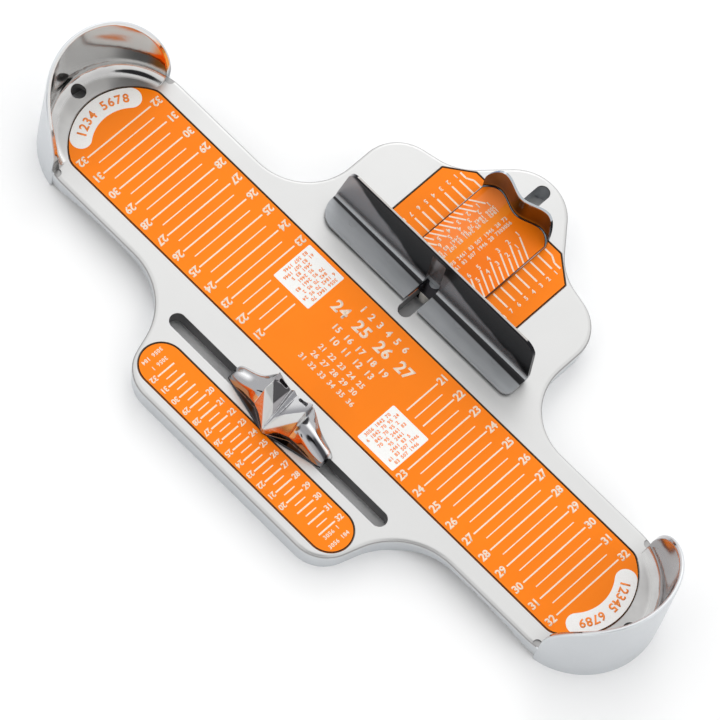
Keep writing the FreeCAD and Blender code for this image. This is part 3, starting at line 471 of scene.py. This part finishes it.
def makeHeadTone(finish, x, aside, across, onWing):
    # ridge, hollows and facets: painted shade on the left, fading out towards the foot on the right; painted
    # highlights on the pale facets and the orange plate's painted reflection on the fronts
    tones = pointerTones
    onRight = finish.over(x, 0.0)
    offWing = finish.inverse(onWing)
    marks = finish.noise(*chrome["marks"])
    fromTip = finish.math("SUBTRACT", across, tones["tipY"])
    valleyX, valleyY = tones["valley"]
    rise = finish.times(finish.math("SUBTRACT", aside, valleyX), tones["valleySlope"])
    pastValley = finish.math("SUBTRACT", finish.math("SUBTRACT", across, valleyY), rise)
    fromRidge = finish.math("SUBTRACT", aside, finish.times(fromTip, tones["ridgeSlope"]))
    beforeCrest = finish.math("SUBTRACT", finish.times(aside, tones["crestSlope"]), fromTip)
    inHollow = finish.times(finish.span(pastValley, *tones["creaseSoft"]),
                            finish.span(fromRidge, *tones["creaseSoft"]))
    onFront = finish.span(beforeCrest, *tones["frontSoft"])
    onFacet = finish.times(finish.inverse(onFront), finish.fall(pastValley, *tones["facetEnd"]),
                           finish.span(fromRidge, *tones["facetStart"]), offWing)

    # painted shade in the hollows, fading out on the right
    fading = finish.mix(finish.span(pastValley, *tones["fade"]), tones["paintedShade"], tones["bright"])
    hollow = finish.mix(onRight, tones["hollow"], fading)
    polished = finish.mix(finish.span(marks, *upperPart), tones["bright"], tones["grey"])
    ridgeSide = finish.times(onRight, finish.fall(fromRidge, *tones["ridgeSoft"]))
    ridged = finish.mix(ridgeSide, finish.mix(inHollow, polished, hollow), tones["paintedShade"])
    # painted reflection of the orange plate on the fronts
    endward = finish.times(onRight, finish.span(aside, *tones["frontFade"]))
    front = finish.mix(endward, tones["front"], tones["frontEnd"])
    color = finish.mix(onFront, finish.mix(onFacet, ridged, tones["facet"]), front)

    leftHollow = finish.times(inHollow, finish.under(x, 0.0), offWing)
    plain = finish.blend(onFacet, finish.span(marks, *mostPart, *tones["polish"]), tones["facetRoughness"])
    return color, finish.blend(leftHollow, plain, tones["hollowRoughness"])


def makeWingTone(finish, x, aside, across):
    # painted highlight on the crown, painted shade on the shoulders, the orange plate's painted reflection on
    # the steep front
    tones = pointerTones
    leftCrown = finish.times(finish.band(across, *tones["crownAcross"]),
                             finish.band(aside, *tones["crownAside"]))
    left = finish.mix(leftCrown, tones["leftWing"], tones["glint"])
    # painted dark reflection on the right wing
    dark = finish.times(finish.band(across, *tones["darkAcross"]),
                        finish.span(aside, *tones["darkAside"]))
    shadedBand = finish.mix(finish.band(across, *tones["paintedShadeAcross"]), tones["grey"], tones["paintedShade"])
    darkened = finish.mix(dark, shadedBand, tones["plate"])
    right = finish.mix(finish.band(across, *tones["glintAcross"]), darkened, tones["glint"])
    wing = finish.mix(finish.over(x, 0.0), left, right)
    return finish.mix(finish.fall(across, *tones["wingFrontEdge"]), wing, tones["wingFront"])


def makePointerTone(finish, x, y, z):
    tones = pointerTones
    aside = finish.math("ABSOLUTE", finish.math("DIVIDE", x, mm))
    across = finish.math("DIVIDE", finish.math("SUBTRACT", y, archSlotY), mm)
    onWing = finish.span(aside, *tones["wingStart"])
    head, roughness = makeHeadTone(finish, x, aside, across, onWing)
    body = finish.mix(onWing, head, makeWingTone(finish, x, aside, across))
    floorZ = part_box("arch_pointer")[0].z
    # painted shade on the thin plate under the wings
    offPlate = finish.span(z, *(floorZ + height for height in tones["plateTop"]))
    return finish.mix(offPlate, tones["plate"], body), roughness


gripTones = {
    # painted reflections on the grip
    "hand": (0.21, 0.185, 0.18, 1.0),
    "handDull": (0.15, 0.135, 0.135, 1.0),
    "handPale": (0.24, 0.30, 0.45, 1.0),
    "darkReflection": (0.012, 0.011, 0.012, 1.0),
    # painted reflection of the pale sky on the grip's foot
    "foot": (0.36, 0.42, 0.47, 1.0),
    "edge": (0.40, 0.43, 0.46, 1.0),
    "carrier": (0.05, 0.05, 0.055, 1.0),
    "roughness": 0.14,
    "paleLobe": (-16.0 * mm, -4.0 * mm), "neck": (-3.5 * mm, 2.5 * mm), "neckSoft": 3.0 * mm,
    "end": (12.0 * mm, 17.0 * mm), "start": (55.0 * mm, 65.0 * mm),
    "footRise": (1.2 * mm, 3.4 * mm),       # up from the dial
    "cutEdge": (-1.0 * mm, -0.7 * mm),      # down from the grip's top
}


def makeGripTone(finish, x, y, z):
    # the thumb grip carries painted dark reflections in its neck and at its end and a painted pale reflection
    # on the near lobe, with a pale cut edge
    tones = gripTones
    lobeReflection = finish.mix(finish.fall(x, *tones["paleLobe"]), tones["hand"], tones["handPale"])
    marks = finish.span(finish.noise(*chrome["marks"]), *upperPart)
    inNeck = finish.band(x, *tones["neck"], tones["neckSoft"])
    dark = finish.math("MAXIMUM", inNeck, finish.span(x, *tones["end"]))
    paintedShaded = finish.mix(dark, finish.mix(marks, lobeReflection, tones["handDull"]), tones["darkReflection"])
    plain = finish.mix(finish.span(y, *tones["start"]), tones["carrier"], tones["foot"])
    onGrip = finish.span(z, *(dialTop + height for height in tones["footRise"]))
    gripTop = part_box("width_carrier_plate")[1].z
    onEdge = finish.span(z, *(gripTop + height for height in tones["cutEdge"]))
    return finish.mix(onEdge, finish.mix(onGrip, plain, paintedShaded), tones["edge"])


def makeChrome():
    # one plating for the pointer and for the carrier with its grip, told apart by their place
    finish = Finish("brightChrome", {"Metallic": 1.0})
    x, y, z = finish.axes()
    pointerTone, pointerRoughness = makePointerTone(finish, x, y, z)
    onGrip = finish.span(y, *chrome["pointerEnd"])
    gripTone = makeGripTone(finish, x, y, z)
    finish.give("Base Color", finish.mix(onGrip, pointerTone, gripTone))
    finish.give("Roughness", finish.blend(onGrip, pointerRoughness, gripTones["roughness"]))
    return finish.material


barSteel = {
    "flangeColor": (0.385, 0.40, 0.415, 1.0), "flangeDull": (0.33, 0.345, 0.36, 1.0),
    # the wall's black is a painted dark reflection
    "wallColor": (0.40, 0.395, 0.41, 1.0), "darkReflectionColor": (0.012, 0.012, 0.014, 1.0),
    "channelColor": (0.43, 0.41, 0.41, 1.0), "edgeColor": (0.46, 0.44, 0.42, 1.0),
    # painted shade in the groove
    "grooveShade": (0.02, 0.02, 0.022, 1.0),
    "flangeRoughness": 0.42, "wallRoughness": 0.26, "flangeMetallic": 0.45, "wallMetallic": 0.92,
    "marks": (45.0, 3.0, (1.0, 5.0, 5.0)), "waves": (70.0, 2.0),
    "wallFoot": 3.4 * mm, "footSoft": (-0.6 * mm, 0.4 * mm),
    # share of the wall's height that stays grey under the painted dark reflection: left end and middle, then
    # middle and right end
    "half": 58.8 * mm, "inner": 5.0 * mm, "leftGrey": (1.02, 0.0), "rightGrey": (0.62, 0.04),
    "waveShare": (-0.05, 0.05), "darkReflectionSoft": (-0.05, 0.09),
    # pale cut edge: down from the wall's top, and forward from the bar's back
    "cutEdge": (-0.25 * mm, -0.05 * mm), "cutBack": (-3.15 * mm, -2.95 * mm),
    # pressed channel: forward from the bar's back, and down from the wall's top
    "channelHalf": 4.3 * mm, "channelBack": (-3.6 * mm, -1.2 * mm), "channelTop": (-3.6 * mm, -2.8 * mm),
    # painted shade in the groove at the wall's foot, whose front runs from one place at the left end to
    # another at the right
    "grooveFront": (23.2 * mm, 21.0 * mm), "grooveFrontSoft": (-0.3 * mm, 0.5 * mm),
    "grooveBack": (24.4 * mm, 24.6 * mm),
}


def makeWallTone(finish, x, y, z, low, high):
    # painted dark reflection towards its top, in a wedge on each side of the channel
    settings = barSteel
    rise = finish.span(z, low.z + settings["wallFoot"], high.z, smooth=False)
    left = finish.span(x, -settings["half"], -settings["inner"], *settings["leftGrey"], False)
    right = finish.span(x, settings["inner"], settings["half"], *settings["rightGrey"], False)
    wave = finish.span(finish.noise(*settings["waves"]), *middlePart, *settings["waveShare"])
    greyUpTo = finish.math("ADD", finish.blend(finish.over(x, 0.0), left, right), wave)
    reflectsDark = finish.span(finish.math("SUBTRACT", rise, greyUpTo), *settings["darkReflectionSoft"])
    wall = finish.mix(reflectsDark, settings["wallColor"], settings["darkReflectionColor"])
    front, back = (high.y + depth for depth in settings["channelBack"])
    inChannel = finish.times(
        finish.under(finish.math("ABSOLUTE", x), settings["channelHalf"]),
        finish.over(y, front), finish.under(y, back),
        finish.fall(z, *(high.z + drop for drop in settings["channelTop"])))
    pressed = finish.mix(inChannel, wall, settings["channelColor"])
    onEdge = finish.times(finish.span(z, *(high.z + drop for drop in settings["cutEdge"])),
                          finish.span(y, *(high.y + depth for depth in settings["cutBack"])))
    return finish.mix(onEdge, pressed, settings["edgeColor"])


def makeFlangeTone(finish, x, y):
    settings = barSteel
    marks = finish.span(finish.noise(*settings["marks"]), *middlePart)
    plain = finish.mix(marks, settings["flangeColor"], settings["flangeDull"])
    front = finish.span(x, -settings["half"], settings["half"], *settings["grooveFront"], False)
    # painted shade in the groove at the wall's foot
    inGroove = finish.times(finish.span(finish.math("SUBTRACT", y, front), *settings["grooveFrontSoft"]),
                            finish.fall(y, *settings["grooveBack"]))
    return finish.mix(inGroove, plain, settings["grooveShade"])


def makeBarSteel(name):
    # satin flange with a smoother wall that carries painted dark reflections
    settings = barSteel
    finish = Finish(name, {})
    x, y, z = finish.axes()
    low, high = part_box("width_bar")
    onWall = finish.span(z, *(low.z + settings["wallFoot"] + soft for soft in settings["footSoft"]))
    wallTone = makeWallTone(finish, x, y, z, low, high)
    finish.give("Base Color", finish.mix(onWall, makeFlangeTone(finish, x, y), wallTone))
    finish.give("Metallic", finish.blend(onWall, settings["flangeMetallic"], settings["wallMetallic"]))
    finish.give("Roughness", finish.blend(onWall, settings["flangeRoughness"], settings["wallRoughness"]))
    return finish.material


acetal = {
    "color": (0.84, 0.82, 0.77, 1.0), "cloudColor": (0.78, 0.76, 0.70, 1.0),
    "clouds": (300.0, 2.0), "roughness": 0.45,
}


def makePlastic():
    finish = Finish("naturalAcetal", {"Roughness": acetal["roughness"]})
    clouds = finish.span(finish.noise(*acetal["clouds"]), *middlePart)
    finish.give("Base Color", finish.mix(clouds, acetal["color"], acetal["cloudColor"]))
    return finish.material


whiteInk = makeInk("whiteInk")
panelInk = makeInk("panelInk")
orangeInk = makeInk("orangeInk")
edgeShadeInk = makeInk("edgeShadeInk")
brightChrome = makeChrome()
slotMaterials = {
    "cast_aluminium": makeCastAluminium(),
    "orange_scale": makePlateEnamel(),
    "orange_dial": makeDialEnamel(),
    "bright_chrome": brightChrome,
    "polished_steel": makeBarSteel("barSteel"),
    "plated_steel": makeBarSteel("platedSteel"),
    "spring_steel": makeSpringSteel(),
    "guide_plastic": makePlastic(),
}
for entry in frame["record"]["subparts"]:
    dress(nodes[entry["node"]], slotMaterials[entry["material_slot"]])
print("materials made:", len(bpy.data.materials))


ink = {
    "sunk": 0.01 * mm, "proud": 0.03 * mm, "barCorner": 0.02 * mm,
    "digitSteps": 3, "digitBolder": 0.03, "digitWeld": 0.002 * mm,
    "digitAdvance": 0.62,       # from one numeral to the next, in parts of their height
}


def thicken(piece):
    # a flat print gets its ink's thickness, seated a hair into the plate
    pickOnly(piece)
    bpy.ops.object.mode_set(mode="EDIT")
    bpy.ops.mesh.select_all(action="SELECT")
    bpy.ops.mesh.extrude_region_move(TRANSFORM_OT_translate={"value": (0, 0, ink["sunk"] + ink["proud"])})
    bpy.ops.mesh.select_all(action="SELECT")
    bpy.ops.transform.translate(value=(0, 0, -ink["sunk"]))
    bpy.ops.mesh.normals_make_consistent(inside=False)
    bpy.ops.object.mode_set(mode="OBJECT")
    return piece


def makeInkBar():
    # one millimetre square, stretched into every ruled line
    bpy.ops.mesh.primitive_plane_add(size=mm)
    bar = bpy.context.active_object
    bpy.ops.object.mode_set(mode="EDIT")
    bpy.ops.mesh.select_all(action="SELECT")
    bpy.ops.mesh.bevel(offset=ink["barCorner"], segments=1, affect="VERTICES")
    bpy.ops.object.mode_set(mode="OBJECT")
    return thicken(bar)


def makeDigit(character):
    # a numeral one millimetre high, centred on the origin
    bpy.ops.object.text_add()
    glyph = bpy.context.active_object
    glyph.data.body = character
    glyph.data.align_x = "CENTER"
    glyph.data.resolution_u = ink["digitSteps"]
    glyph.data.offset = ink["digitBolder"]
    pickOnly(glyph)
    bpy.ops.object.convert(target="MESH")
    glyph = bpy.context.active_object
    low = min(vertex.co.y for vertex in glyph.data.vertices)
    high = max(vertex.co.y for vertex in glyph.data.vertices)
    middle = Matrix.Translation((0, -(low + high) / 2, 0))
    glyph.data.transform(Matrix.Scale(mm / (high - low), 4) @ middle)
    weld(glyph, ink["digitWeld"])
    return thicken(glyph)


inkBar = makeInkBar()
digits = {character: makeDigit(character) for character in "0123456789"}


def printBar(x, y, length, width, turn=0.0, top=plateTop):
    return stamp(inkBar, onPlate(x, y, top), turn, (length, width, 1.0))


def printLine(first, last, width, top=plateTop):
    # ruled line between two points, in millimetres from the plate's middle
    run = Vector(last) - Vector(first)
    middle = (Vector(last) + Vector(first)) / 2
    return printBar(middle.x, middle.y, run.length, width, math.atan2(run.y, run.x), top)


def printNumber(text, x, y, height, turn=0.0, top=plateTop, advance=ink["digitAdvance"]):
    # numerals side by side, centred on a place
    printed = []
    for index, character in enumerate(text):
        if character != " ":
            step = (index - (len(text) - 1) / 2) * advance * height
            place = onPlate(x + math.cos(turn) * step, y + math.sin(turn) * step, top)
            printed.append(stamp(digits[character], place, turn, (height, height, 1.0)))
    return printed


def finishPrint(name, parts, material, body="base"):
    printed = joinAs(name, parts)
    dress(printed, material)
    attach(printed, body)


lengthScale = {
    "first": 21, "last": 32, "firstX": 34.0, "pitch": 10.0,
    "fullLine": (-19.0, 19.5), "halfLine": (-16.3, 17.4), "fullWidth": 0.68, "halfWidth": 0.49,
    "numberY": 22.6, "numberHeight": 3.9,
    "besidePanel": 2, "shortFrom": 0.4,      # so many sizes stand beside the panel, with shorter lines
}


def printLengthScale():
    # right-hand set reads from the right end, left-hand set is the same turned half round
    settings = lengthScale
    printed = []
    for side in (1, -1):
        for size in range(settings["first"], settings["last"] + 1):
            x = settings["firstX"] + (size - settings["first"]) * settings["pitch"]
            short = size < settings["first"] + settings["besidePanel"]
            rows = [(x, settings["fullLine"], settings["fullWidth"])]
            if size < settings["last"]:
                rows.append((x + settings["pitch"] / 2, settings["halfLine"], settings["halfWidth"]))
            for lineX, (low, high), width in rows:
                start = settings["shortFrom"] if short else low
                printed.append(printLine((side * lineX, side * start), (side * lineX, side * high), width))
            for row in (1,) if short else (1, -1):
                printed += printNumber(str(size), side * x, side * row * settings["numberY"],
                                       settings["numberHeight"], side * upright)
    finishPrint("length_scale_printing", printed, whiteInk)


archScale = {
    "first": 20, "last": 32, "firstX": -48.6, "pitch": 6.573, "lines": 16,
    "fullLine": (-69.3, -59.6), "halfLine": (-67.4, -61.2), "fullWidth": 0.74, "halfWidth": 0.52,
    "numberRows": ((-57.0, -29.0, 1), (-71.6, 30.2, -1)),     # place across, first size's place, way it runs
    "numberHeight": 2.8,
    "endRows": ((52.6, 8.2), (57.2, 11.2)), "endMiddle": -64.4, "endHeight": 2.0,     # place along, length
}


def printArchScale():
    settings = archScale
    printed = []
    for index in range(settings["lines"]):
        x = settings["firstX"] + index * settings["pitch"]
        rows = [(x, settings["fullLine"], settings["fullWidth"])]
        if index < settings["lines"] - 1:
            rows.append((x + settings["pitch"] / 2, settings["halfLine"], settings["halfWidth"]))
        printed += [printLine((lineX, low), (lineX, high), width) for lineX, (low, high), width in rows]
    for rowY, firstX, way in settings["numberRows"]:
        for size in range(settings["first"], settings["last"] + 1):
            x = firstX + way * (size - settings["first"]) * settings["pitch"]
            printed += printNumber(str(size), x, rowY, settings["numberHeight"], way * upright)
    for side in (1, -1):
        for x, length in settings["endRows"]:
            printed += printTextRow(x * side, settings["endMiddle"], length, settings["endHeight"],
                                    side * upright)
    finishPrint("arch_scale_printing", printed, whiteInk)


smallPrint = {"advance": 0.74, "sequence": "3056 1842 70 95 2461 83 507 1946 28 730"}


def printTextRow(x, y, length, height, turn, start=0, top=plateTop):
    # a row of small plain numerals that fills a given length
    count = max(1, round(length / (height * smallPrint["advance"])))
    sequence = smallPrint["sequence"]
    row = "".join(sequence[(start + index) % len(sequence)] for index in range(count))
    return printNumber(row, x, y, height, turn, top, smallPrint["advance"])


widthScale = {
    "lines": (96.7, 92.0, 87.35, 82.6, 77.9, 73.3, 68.6, 64.1, 59.4, 54.8),
    "inner": 19.9, "outer": 28.6, "lineWidth": 0.85, "markX": 31.0, "markHeight": 2.3,
    "leader": ((19.9, 101.4), (24.2, 101.4), (27.4, 99.6), (31.0, 99.6)),
}


def printWidthScale():
    # the two half plates mirror one another on both sides of the slot
    settings = widthScale
    printed = []
    for side in (1, -1):
        for index, y in enumerate(settings["lines"]):
            printed.append(printLine((side * settings["inner"], y), (side * settings["outer"], y),
                                     settings["lineWidth"]))
            printed += printNumber(str((index + 1) % 10), side * settings["markX"], y, settings["markHeight"],
                                   side * upright)
        corners = [(side * x, y) for x, y in settings["leader"]]
        for first, last in zip(corners[:-1], corners[1:]):
            printed.append(printLine(first, last, settings["lineWidth"]))
    finishPrint("width_scale_printing", printed, whiteInk)


dialScale = {
    "rows": 7, "pitch": 6.15, "lineWidth": 0.75, "markHeight": 2.4,
    # mark's place, then the slanted line's two ends
    "columns": (((7.0, 96.7), (8.7, 96.3), (18.95, 91.4)), ((11.1, 92.0), (12.8, 91.4), (18.95, 88.4)),
                ((-11.5, 97.4), (-12.6, 96.6), (-18.95, 92.1)),
                ((-14.1, 93.2), (-15.3, 91.3), (-18.95, 88.9))),
    "textRows": ((-8.9, -1), (-6.9, -1), (-1.7, 1), (1.1, 1)),      # place aside, and which way it reads
    "textMiddle": 79.0, "textLength": 40.0, "textHeight": 1.9, "textStep": 5,
}


def printDial():
    settings = dialScale
    printed = []
    for mark, first, last in settings["columns"]:
        turn = upright if mark[0] > 0 else -upright
        for row in range(settings["rows"]):
            drop = row * settings["pitch"]
            printed += printNumber(str(row + 1), mark[0], mark[1] - drop, settings["markHeight"],
                                   turn, dialTop)
            printed.append(printLine((first[0], first[1] - drop), (last[0], last[1] - drop),
                                     settings["lineWidth"], dialTop))
    for index, (x, way) in enumerate(settings["textRows"]):
        printed += printTextRow(x, settings["textMiddle"], settings["textLength"], settings["textHeight"],
                                way * upright, index * settings["textStep"], dialTop)
    finishPrint("width_dial_printing", printed, whiteInk, "width_slider")


panel = {
    "middle": (39.25, -13.3), "size": (21.6, 22.4), "rowPitch": 2.55, "rowHeight": 1.75,
    "rowLengths": (17.0, 19.0, 14.0, 18.0, 10.0, 13.0, 18.5, 15.0), "rowStep": 3, "lift": 0.03 * mm,
}


def printPanels():
    # a pale square at each side of the middle, filled with rows of small orange numerals
    settings = panel
    squares, rows = [], []
    for side in (1, -1):
        x, y = (side * value for value in settings["middle"])
        squares.append(printBar(x, y, *settings["size"]))
        for index, length in enumerate(settings["rowLengths"]):
            shift = (index - (len(settings["rowLengths"]) - 1) / 2) * settings["rowPitch"]
            rows += printTextRow(x + side * shift, y, length, settings["rowHeight"], side * upright,
                                 index * settings["rowStep"], plateTop + settings["lift"])
    finishPrint("panel_ground", squares, panelInk)
    finishPrint("panel_numbers", rows, orangeInk)


middleTable = {
    # numerals, place across the plate, height
    "rows": (("1 2 3 4 5 6", 20.4, 3.6), ("24 25 26 27", 13.0, 6.0), ("15 16 17 18 19", 5.2, 3.3),
             ("10 11 12 13", 0.0, 3.3), ("21 22 23 24 25", -6.2, 2.7), ("26 27 28 29 30", -10.9, 2.7),
             ("31 32 33 34 35 36", -15.6, 2.7)),
    "middle": 0.6, "advance": 0.72,
}


def printMiddleTable():
    settings = middleTable
    printed = []
    for text, y, height in settings["rows"]:
        printed += printNumber(text, settings["middle"], y, height, advance=settings["advance"])
    finishPrint("middle_table_printing", printed, whiteInk)


heelPad = {
    "arcRadius": 24.7, "halfWidth": 4.9, "halfAngle": math.radians(38.3), "steps": 40, "endCentre": 133.3,
    "numbers": {-1: "1234 5678", 1: "12345 6789"}, "numberHeight": 4.4, "span": math.radians(66.0),
    "sliver": 0.001 * mm, "weld": 0.01 * mm,        # the swept edge starts as a sliver that is welded shut
    "tipCorners": 32,
}


def makeHeelPad(side):
    # an edge is swept round the plate's end, then a round tip is united with each end
    settings = heelPad
    centre = onPlate(side * settings["endCentre"], 0.0)
    start = settings["halfAngle"]
    bpy.ops.mesh.primitive_plane_add(size=1.0)
    band = bpy.context.active_object
    band.scale = (2 * settings["halfWidth"] * mm, settings["sliver"], 1.0)
    settle(band)
    reach = Matrix.Translation((side * settings["arcRadius"] * mm, 0, 0))
    band.data.transform(Matrix.Translation(centre) @ Matrix.Rotation(-start, 4, "Z") @ reach)
    weld(band, settings["weld"])
    bpy.ops.object.mode_set(mode="EDIT")
    bpy.ops.mesh.select_all(action="SELECT")
    bpy.ops.mesh.spin(steps=settings["steps"], angle=-2 * start, center=centre, axis=(0, 0, 1))
    bpy.ops.object.mode_set(mode="OBJECT")
    thicken(band)
    for end in (-1, 1):
        arc = end * start
        tip = centre + Vector((side * math.cos(arc), math.sin(arc), 0)) * settings["arcRadius"] * mm
        bpy.ops.mesh.primitive_circle_add(vertices=settings["tipCorners"], radius=settings["halfWidth"] * mm,
                                          fill_type="NGON", location=tip)
        disc = bpy.context.active_object
        settle(disc)
        thicken(disc)
        modify(band, "BOOLEAN", operation="UNION", object=disc)
        discard(disc)
    return band


def printHeelPads():
    settings = heelPad
    pads, numbers = [], []
    for side in (1, -1):
        pads.append(makeHeelPad(side))
        text = settings["numbers"][side]
        for index, character in enumerate(text):
            if character == " ":
                continue
            # numerals stand on the arc with their tops outward
            arc = (0.5 - index / (len(text) - 1)) * settings["span"]
            away = Vector((side * math.cos(arc), side * math.sin(arc)))
            place = Vector((side * settings["endCentre"], 0)) + away * settings["arcRadius"]
            turn = math.atan2(away.y, away.x) - upright
            numbers += printNumber(character, place.x, place.y, settings["numberHeight"], turn,
                                   plateTop + panel["lift"])
    finishPrint("heel_pad_ground", pads, panelInk)
    finishPrint("heel_pad_numbers", numbers, orangeInk)


# painted shade lines along the gaps round the plates
edgeShadeLine = {
    # name of the line, plate that it borders, body that it rides on, width
    "lines": (("length_scale_plate_edge_shade", "length_scale_plate", "base", 0.55 * mm),
              ("arch_scale_plate_edge_shade", "arch_scale_plate", "base", 0.55 * mm),
              ("width_scale_plate_left_edge_shade", "width_scale_plate_left", "base", 0.55 * mm),
              ("width_scale_plate_right_edge_shade", "width_scale_plate_right", "base", 0.55 * mm),
              ("width_dial_edge_shade", "width_dial_overlay", "width_slider", 0.28 * mm)),
    "weld": 0.001 * mm, "levelNormal": 0.9, "topDepth": 0.01 * mm, "flatAngle": math.radians(1.0),
}


def printEdgeLine(name, node, body, width):
    # painted shade line that borders a plate, along the gap round it: its top face, inset, without the middle
    settings = edgeShadeLine
    line = twin(nodes[node])
    weld(line, settings["weld"])
    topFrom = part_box(node)[1].z - settings["topDepth"]
    bpy.ops.object.mode_set(mode="EDIT")
    bpy.ops.mesh.select_mode(type="FACE")
    bpy.ops.mesh.select_all(action="DESELECT")
    bpy.ops.object.mode_set(mode="OBJECT")
    for face in line.data.polygons:
        face.select = face.normal.z < settings["levelNormal"] or face.center.z < topFrom
    bpy.ops.object.mode_set(mode="EDIT")
    bpy.ops.mesh.delete(type="FACE")
    bpy.ops.mesh.select_all(action="SELECT")
    bpy.ops.mesh.dissolve_limited(angle_limit=settings["flatAngle"])
    bpy.ops.mesh.select_all(action="SELECT")
    bpy.ops.mesh.inset(thickness=width, use_boundary=True)
    bpy.ops.mesh.delete(type="FACE")
    bpy.ops.mesh.select_mode(type="VERT")
    bpy.ops.object.mode_set(mode="OBJECT")
    finishPrint(name, [thicken(line)], edgeShadeInk, body)


printLengthScale()
printArchScale()
printWidthScale()
printDial()
printPanels()
printMiddleTable()
printHeelPads()
for border in edgeShadeLine["lines"]:
    printEdgeLine(*border)
discard(inkBar, *digits.values())
print("printing done")


pointerSkin = {
    "weld": 0.001 * mm, "voxel": 0.24 * mm,
    "wingPasses": 60, "bodyPasses": 10, "passStrength": 0.5,
    "headHalf": 10.9 * mm,      # the wings begin here
    "plate": 1.1 * mm,          # the thin plate under them stays as it is
}


def refinePointer():
    # the pointer's own form as one smooth skin, with worn edges and softer wings
    settings = pointerSkin
    skin = twin(nodes["arch_pointer"])
    skin.name = "arch_pointer_skin"
    weld(skin, settings["weld"])
    modify(skin, "REMESH", mode="VOXEL", voxel_size=settings["voxel"])
    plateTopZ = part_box("arch_pointer")[0].z + settings["plate"]
    wings = skin.vertex_groups.new(name="wings")
    body = skin.vertex_groups.new(name="body")
    for vertex in skin.data.vertices:
        if vertex.co.z > plateTopZ:
            body.add([vertex.index], 1.0, "REPLACE")
            if abs(vertex.co.x) > settings["headHalf"]:
                wings.add([vertex.index], 1.0, "REPLACE")
    for group, passes in ((wings, settings["wingPasses"]), (body, settings["bodyPasses"])):
        modify(skin, "SMOOTH", vertex_group=group.name, iterations=passes, factor=settings["passStrength"])
    skin.vertex_groups.clear()
    bpy.ops.object.shade_smooth()
    dress(skin, brightChrome)
    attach(skin, "arch_slider")
    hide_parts("arch_pointer")


refinePointer()
print("pointer done")


cameraView = {
    "azimuth": math.radians(28.257), "elevation": math.radians(63.95), "roll": math.radians(18.5),
    "distance": 2581.478 * mm, "aside": -4.004 * mm, "above": 1.308 * mm,
    "lens": 299.279, "sensorWidth": 36.0, "clipStart": 50.0 * mm, "exposure": 0.12,
}


def makeCamera():
    settings = cameraView
    azimuth, elevation, roll = settings["azimuth"], settings["elevation"], settings["roll"]
    back = Vector((math.sin(azimuth) * math.cos(elevation), -math.cos(azimuth) * math.cos(elevation),
                   math.sin(elevation)))
    level = Vector((math.cos(azimuth), math.sin(azimuth), 0))
    rise = back.cross(level)
    right = math.cos(roll) * level + math.sin(roll) * rise
    up = -math.sin(roll) * level + math.cos(roll) * rise
    spot = onPlate(0, 0) - right * settings["aside"] - up * settings["above"] + back * settings["distance"]
    bpy.ops.object.camera_add()
    camera = bpy.context.active_object
    turn = Matrix((right, up, back)).transposed().to_4x4()
    camera.matrix_world = Matrix.Translation(spot) @ turn
    camera.data.lens = settings["lens"]
    camera.data.sensor_width = settings["sensorWidth"]
    camera.data.clip_start = settings["clipStart"]
    bpy.context.scene.camera = camera


studioFloor = {
    "size": 9.0, "cuts": 4, "color": (0.97, 0.97, 0.97, 1.0), "dull": (0.95545, 0.95545, 0.95545, 1.0),
    "clouds": (3.0, 2.0), "shader": {"Roughness": 0.9, "Specular IOR Level": 0.1},
}


def makeFloor():
    settings = studioFloor
    bpy.ops.mesh.primitive_grid_add(x_subdivisions=settings["cuts"], y_subdivisions=settings["cuts"],
                                    size=settings["size"])
    floor = bpy.context.active_object
    floor.name = "studio_floor"
    finish = Finish("paleFloor", settings["shader"])
    clouds = finish.span(finish.noise(*settings["clouds"]), *middlePart)
    finish.give("Base Color", finish.mix(clouds, settings["color"], settings["dull"]))
    dress(floor, finish.material)


studioSky = {
    "strength": 1.1, "color": (1.0, 1.0, 1.0, 1.0), "shadeColor": (0.03, 0.03, 0.033, 1.0),
    # where the shaded patch lies, and the cosines at which it starts and is full
    "shadeToward": (0.30, -0.50, 0.81), "shadeFrom": 0.90, "shadeFull": 0.955,
}


def makeSky():
    # an even pale dome with one soft shaded patch
    settings = studioSky
    world = bpy.data.worlds.new("studioDome")
    bpy.context.scene.world = world
    world.use_nodes = True
    tree = world.node_tree
    place = tree.nodes.new("ShaderNodeTexCoord")
    dot = tree.nodes.new("ShaderNodeVectorMath")
    dot.operation = "DOT_PRODUCT"
    dot.inputs[1].default_value = Vector(settings["shadeToward"]).normalized()
    tree.links.new(place.outputs["Generated"], dot.inputs[0])
    ramp = tree.nodes.new("ShaderNodeMapRange")
    ramp.interpolation_type = "SMOOTHSTEP"
    ramp.inputs["From Min"].default_value = settings["shadeFrom"]
    ramp.inputs["From Max"].default_value = settings["shadeFull"]
    tree.links.new(dot.outputs["Value"], ramp.inputs["Value"])
    mix = tree.nodes.new("ShaderNodeMix")
    mix.data_type = "RGBA"
    mix.inputs[6].default_value = settings["color"]
    mix.inputs[7].default_value = settings["shadeColor"]
    tree.links.new(ramp.outputs[0], mix.inputs[0])
    background = tree.nodes["Background"]
    background.inputs["Strength"].default_value = settings["strength"]
    tree.links.new(mix.outputs[2], background.inputs["Color"])


keyLight = {"power": 5.0, "size": 1.2, "place": (-0.9, 1.4, 1.3)}


def makeKeyLight():
    # a soft disc that looks at the middle of the frame
    bpy.ops.object.light_add(type="AREA", location=keyLight["place"])
    key = bpy.context.active_object
    key.data.shape = "DISK"
    key.data.size = keyLight["size"]
    key.data.energy = keyLight["power"]
    aim = -Vector(keyLight["place"])
    key.rotation_euler = aim.to_track_quat("-Z", "Y").to_euler()


makeCamera()
makeFloor()
makeSky()
makeKeyLight()
bpy.context.scene.view_settings.view_transform = "Standard"
bpy.context.scene.view_settings.exposure = cameraView["exposure"]
print("studio ready")
